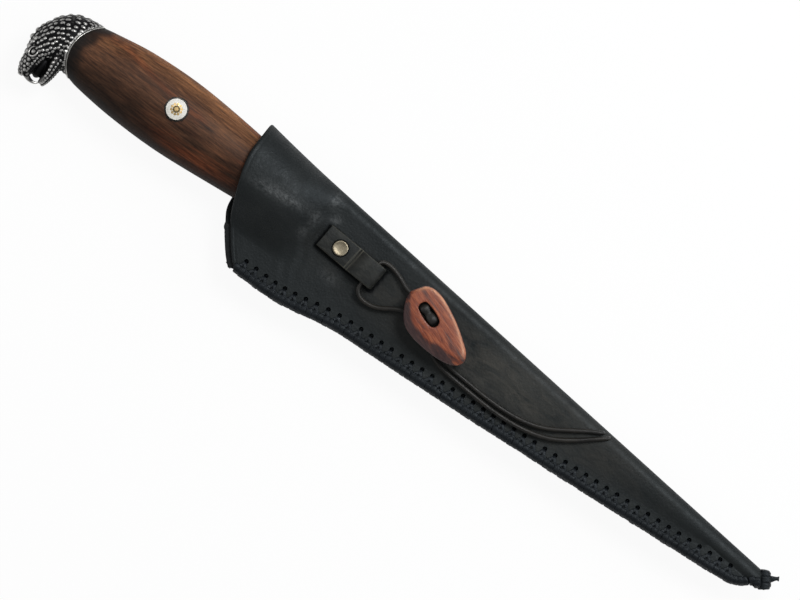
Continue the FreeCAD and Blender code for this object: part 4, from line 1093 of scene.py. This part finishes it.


class Tube:
    """A bent tube with elliptic sections; angle 0 is outwards, 90 degrees is the front."""

    def __init__(self, stations, count=90):
        base = np.array([COLLAR_X, NECK_Y, 0])
        rows = catmull(stations, count)
        self.line = np.stack([rows[:, 0], rows[:, 1], 0 * rows[:, 0]], 1) + base
        self.ahead = unit(np.gradient(self.line, axis=0))
        self.out = np.stack([self.ahead[:, 1], -self.ahead[:, 0], 0 * rows[:, 0]], 1)
        if self.out[len(rows) // 2, 0] > 0:
            self.out = -self.out
        self.sizes = rows[:, 2:5]
        self.count = count

    def at(self, u, angle):
        """Surface point, its normal and the direction along, at a share u of the tube."""
        k = u * (self.count - 1)

        def blend(rows):
            return np.array([np.interp(k, np.arange(self.count), column) for column in rows.T])

        line, sizes = blend(self.line), blend(self.sizes)
        out, ahead = unit(blend(self.out)), unit(blend(self.ahead))
        c, s = math.cos(angle), math.sin(angle)
        across = sizes[0] if c > 0 else sizes[1]
        point = line + out * c * across + np.array([0, 0, s * sizes[2]])
        normal = unit(out * c / across + np.array([0, 0, s / sizes[2]]))
        return point, normal, ahead

    def mesh(self, around=48):
        rows = []
        for i in range(self.count):
            for j in range(around):
                rows.append(self.at(i / (self.count - 1), 2 * math.pi * j / around)[0])
        return np.array(rows), grid_faces(self.count, around, wrap=True) + end_faces(self.count, around)


def scale_at(tube, u, angle, long, wide, high, sink=0.35):
    """One raised scale on a tube."""
    point, normal, ahead = tube.at(u, angle)
    across = unit(np.cross(normal, ahead))
    return ball(point - normal * high * sink, (unit(np.cross(across, normal)), across, normal),
                (long, wide, high), 6)


# (tube, places along it, angle, size) of the rows on each side: upper lip, the row above it,
# four brow bumps, three crest bumps, lower lip and the two rows under it
SCALE_ROWS = ([("skull", np.linspace(0.56, 0.95, 12), 128, (0.82, 1.0, 0.9, 0.1)),
               ("skull", np.linspace(0.57, 0.82, 7), 106, (0.8, 0.8, 0.8))]
              + [("skull", [u], 46, (1.4, 1.0, high, 0.0))
                 for u, high in ((0.50, 1.3), (0.535, 1.6), (0.575, 1.5), (0.62, 1.1))]
              + [("skull", [u], 15, (1.5, 1.1, high, 0.0))
                 for u, high in ((0.40, 1.1), (0.45, 1.5), (0.51, 1.7))]
              + [("jaw", np.linspace(0.08, 0.95, 13), 150, (0.68, 0.68, 0.6, 0.1)),
                 ("jaw", np.linspace(0.05, 0.85, 11), 116, (0.72, 0.72, 0.6)),
                 ("jaw", np.linspace(0.05, 0.6, 7), 84, (0.72, 0.72, 0.5))])


def head_scales(skull, jaw):
    """Rings of scales on the neck, larger plates on the crown, and the rows of each side."""
    parts = []
    rows = 15
    for i in range(rows):
        u = 0.035 + 0.505 * i / (rows - 1)
        k = int(u * (skull.count - 1))
        mean = (skull.sizes[k, 0] + skull.sizes[k, 1]) / 2
        around = 2 * math.pi * math.sqrt((mean ** 2 + skull.sizes[k, 2] ** 2) / 2)
        n = int(around / 2.35)
        for j in range(n):
            a = 2 * math.pi * (j + 0.5 * (i % 2) + 0.14 * math.sin(7 * i + 4 * j)) / n
            stretch = (1.0 + 0.28 * math.cos(a)) * (1 + 0.16 * math.sin(5 * i + 3 * j))
            parts.append(scale_at(skull, u + 0.004 * math.sin(3 * i + 5 * j), a, 1.12 * stretch,
                                  0.86, 0.95, 0.42))
    for i, u in enumerate(np.linspace(0.57, 0.93, 8)):  # crown plates, larger
        for j in range(-3, 4):
            a = (j + 0.5 * (i % 2)) * 0.42
            shrink = 1 - 0.5 * (u - 0.57) / 0.36
            high = 0.75 + 0.25 * math.sin(5.0 * i + 3.0 * j)
            parts.append(scale_at(skull, u, a, 1.25 * shrink + 0.2, 1.15 * shrink + 0.15, high))
    for side in (1, -1):
        for tube, where, degrees, size in SCALE_ROWS:
            for u in where:
                parts.append(scale_at(skull if tube == "skull" else jaw, u,
                                      side * math.radians(degrees), *size))
    return parts


def fang_ring(u):
    left = (1 - u) ** 0.8
    return rounded(2.1 * left + 0.3, 1.8 * left + 0.3, 0.13 + 0.7 * left, 4)


def head_features(skull):
    """Rimmed eyes, nostrils and fangs."""
    parts = []
    for side in (1, -1):
        for u, a, size in ((0.585, 72, 1.9), (0.925, 66, 0.7)):  # eyes and nostrils
            point, normal, ahead = skull.at(u, side * math.radians(a))
            across = unit(np.cross(normal, ahead))
            ahead = unit(np.cross(across, normal))
            turn = np.linspace(0, 2 * math.pi, 32, endpoint=False)[:, None]
            ring = point + normal * 0.25 + size * (np.cos(turn) * ahead * 1.15 + np.sin(turn) * across)
            parts.append(swept(ring, ring - point + normal * 0.01, rounded(0.7, 0.7, 0.3), closed=True))
            if size > 1:
                parts.append(ball(point - normal * 0.3, (ahead, across, normal), (1.25, 1.1, 1.2), 10))
        root, _normal, _ahead = skull.at(0.93, side * math.radians(135))
        fang = catmull([root - (0.6, 0, 0), root + (1.7, -0.9, side * 0.2), root + (3.9, -0.9, side * -0.1),
                        root + (5.6, 0.1, side * -0.4)], 18)
        parts.append(swept(fang, np.tile(UP, (18, 1)), fang_ring))
    return parts


def relief(mesh):
    """Each point's place, and how far it stands above its evened surroundings in millimetres."""
    count = len(mesh.vertices)
    place, normals = np.zeros((count, 3)), np.zeros((count, 3))
    mesh.vertices.foreach_get("co", place.ravel())
    mesh.vertices.foreach_get("normal", normals.ravel())
    edges = np.zeros((len(mesh.edges), 2), int)
    mesh.edges.foreach_get("vertices", edges.ravel())
    degree = np.bincount(edges.ravel(), minlength=count)[:, None]
    even = place.copy()
    for _ in range(14):
        total = np.zeros_like(even)
        np.add.at(total, edges[:, 0], even[edges[:, 1]])
        np.add.at(total, edges[:, 1], even[edges[:, 0]])
        even = total / np.maximum(degree, 1)
    return place, ((place - even) * normals).sum(1) * 1000


def make_head(material):
    skull, jaw = Tube(SKULL, 100), Tube(JAW, 60)
    hollow = np.array([COLLAR_X + MOUTH_HOLE[0], NECK_Y + MOUTH_HOLE[1], 0])
    # a ball fills the open mouth to carry its painted shade
    inside = ball(hollow + (0.2, 0.2, 0), np.eye(3), (3.0, 6.4, 4.8), 16)
    points, faces = joined([skull.mesh(), jaw.mesh(40), inside] + head_scales(skull, jaw)
                           + head_features(skull))
    made = add_object("snake_head", points, faces, material, "knife", ["snake_head_pommel"])
    merge = made.modifiers.new("merge", "REMESH")
    merge.mode, merge.voxel_size, merge.use_smooth_shade = "VOXEL", 0.00022, True
    apply_modifiers(made)
    trim_head(made)
    place, raised = relief(made.data)
    drawn = place * 1000 - SHIFT - hollow
    oval = (drawn[:, 0] / MOUTH_SIZE[0]) ** 2 + (drawn[:, 1] / MOUTH_SIZE[1]) ** 2
    # painted shade inside the mouth
    dark = smooth_step(1.3, 0.8, oval) * smooth_step(7.4, 5.6, np.abs(drawn[:, 2]))
    paint(made, "cavity", (0.5 + raised * 2.2) * (1 - 0.8 * dark))


def trim_head(obj):
    """Cuts the neck to the collar's curve."""
    radius = DOME + 0.86
    drill(obj, [lathe([(radius, -20), (radius, 20)], (COLLAR_X + DOME, NECK_Y, 0), UP, 128)], False)


# --- everything --------------------------------------------------------------------------

def node_material(node, material):
    """Gives a piece kept from the part its material."""
    for slot in frame["nodes"][node].material_slots:
        slot.material = material


def make_sheath(cord):
    leather = leather_material("sheath_leather_black", (0.0056, 0.0070, 0.0073), (0.0125, 0.0142, 0.0140),
                               (0.050, 0.046, 0.039))
    rough = leather_material("welt_leather", (0.0030, 0.0030, 0.0032), (0.0085, 0.0080, 0.0078),
                             (0.020, 0.018, 0.016), 500)
    lace = leather_material("lace_leather", (0.0014, 0.0020, 0.0030), (0.0036, 0.0050, 0.0070),
                            (0.011, 0.013, 0.016), 1200, 0.26)
    make_cords(cord)
    shell = make_shell(leather)
    punch_holes(shell)
    shadow = leather_material("lace_shadow", (0.0005, 0.0007, 0.0010), (0.0010, 0.0014, 0.0020),
                              (0.002, 0.002, 0.003), 1200, 0.04)
    make_lacing(lace, shadow)
    make_tip(lace)
    make_welt(rough)
    strap = leather_material("strap_leather", (0.0045, 0.0048, 0.0046), (0.0095, 0.0098, 0.0088),
                             (0.034, 0.033, 0.028))
    strap_piece("tab_strap", "strap_tab", strap, (*TAB_AT, PANEL_TOP), TAB_TURN, False, TAB_LONG,
                TAB_WIDE, 0.4)
    strap_piece("keeper_strap", "back_keeper", strap, (*KEEPER_AT, -PANEL_TOP), 0, True, KEEPER_LONG,
                KEEPER_WIDE, 2.0)
    brass = metal_material("antique_brass_worn", (0.42, 0.37, 0.27), (0.20, 0.17, 0.12), 0.32)
    turn, high = math.radians(TAB_TURN), PANEL_TOP + 2 * STRAP
    tab = (TAB_AT[0] + TAB_RIVET * math.cos(turn), TAB_AT[1] + TAB_RIVET * math.sin(turn), high)
    keeper = (KEEPER_AT[0] - KEEPER_RIVET, KEEPER_AT[1], -high)
    rivet_cap("tab_rivet", "tab_rivet_cap", (brass, rough), tab, UP)
    rivet_cap("keeper_rivet", "keeper_rivet_cap", (brass, rough), keeper, -UP)
    node_material("welt", rough)
    for node in ("tab_rivet_post", "tab_rivet_washer", "keeper_rivet_post", "keeper_rivet_washer"):
        node_material(node, brass)


def make_knife():
    silver = metal_material("collar_silver", (0.62, 0.61, 0.58), (0.30, 0.29, 0.27), 0.28)
    make_handle(handle_material())
    make_collar(silver)
    make_head(silver_material())
    bright = metal_material("pin_brass", (0.58, 0.42, 0.19), (0.24, 0.17, 0.08), 0.28)
    dark = metal_material("pin_dark", (0.05, 0.045, 0.04), (0.02, 0.02, 0.02), 0.35)
    node_material("pin_tube", dark)
    node_material("pin_filler", filler_material())
    for node in ("pin_petal_rods", "pin_core"):
        node_material(node, bright)
    ring = metal_material("pin_ring_dark", (0.12, 0.085, 0.035), (0.05, 0.035, 0.015), 0.35)
    node_material("pin_inner_ring", ring)
    node_material("blade", steel_material())
    nickel = metal_material("bolster_nickel", (0.50, 0.48, 0.44), (0.30, 0.29, 0.27), 0.34)
    node_material("bolster", nickel)


def build():
    cord = cord_material()
    make_camera()
    make_lights()
    make_floor()
    make_sheath(cord)
    make_toggle(toggle_material())
    make_bight(cord)
    make_knife()


build()
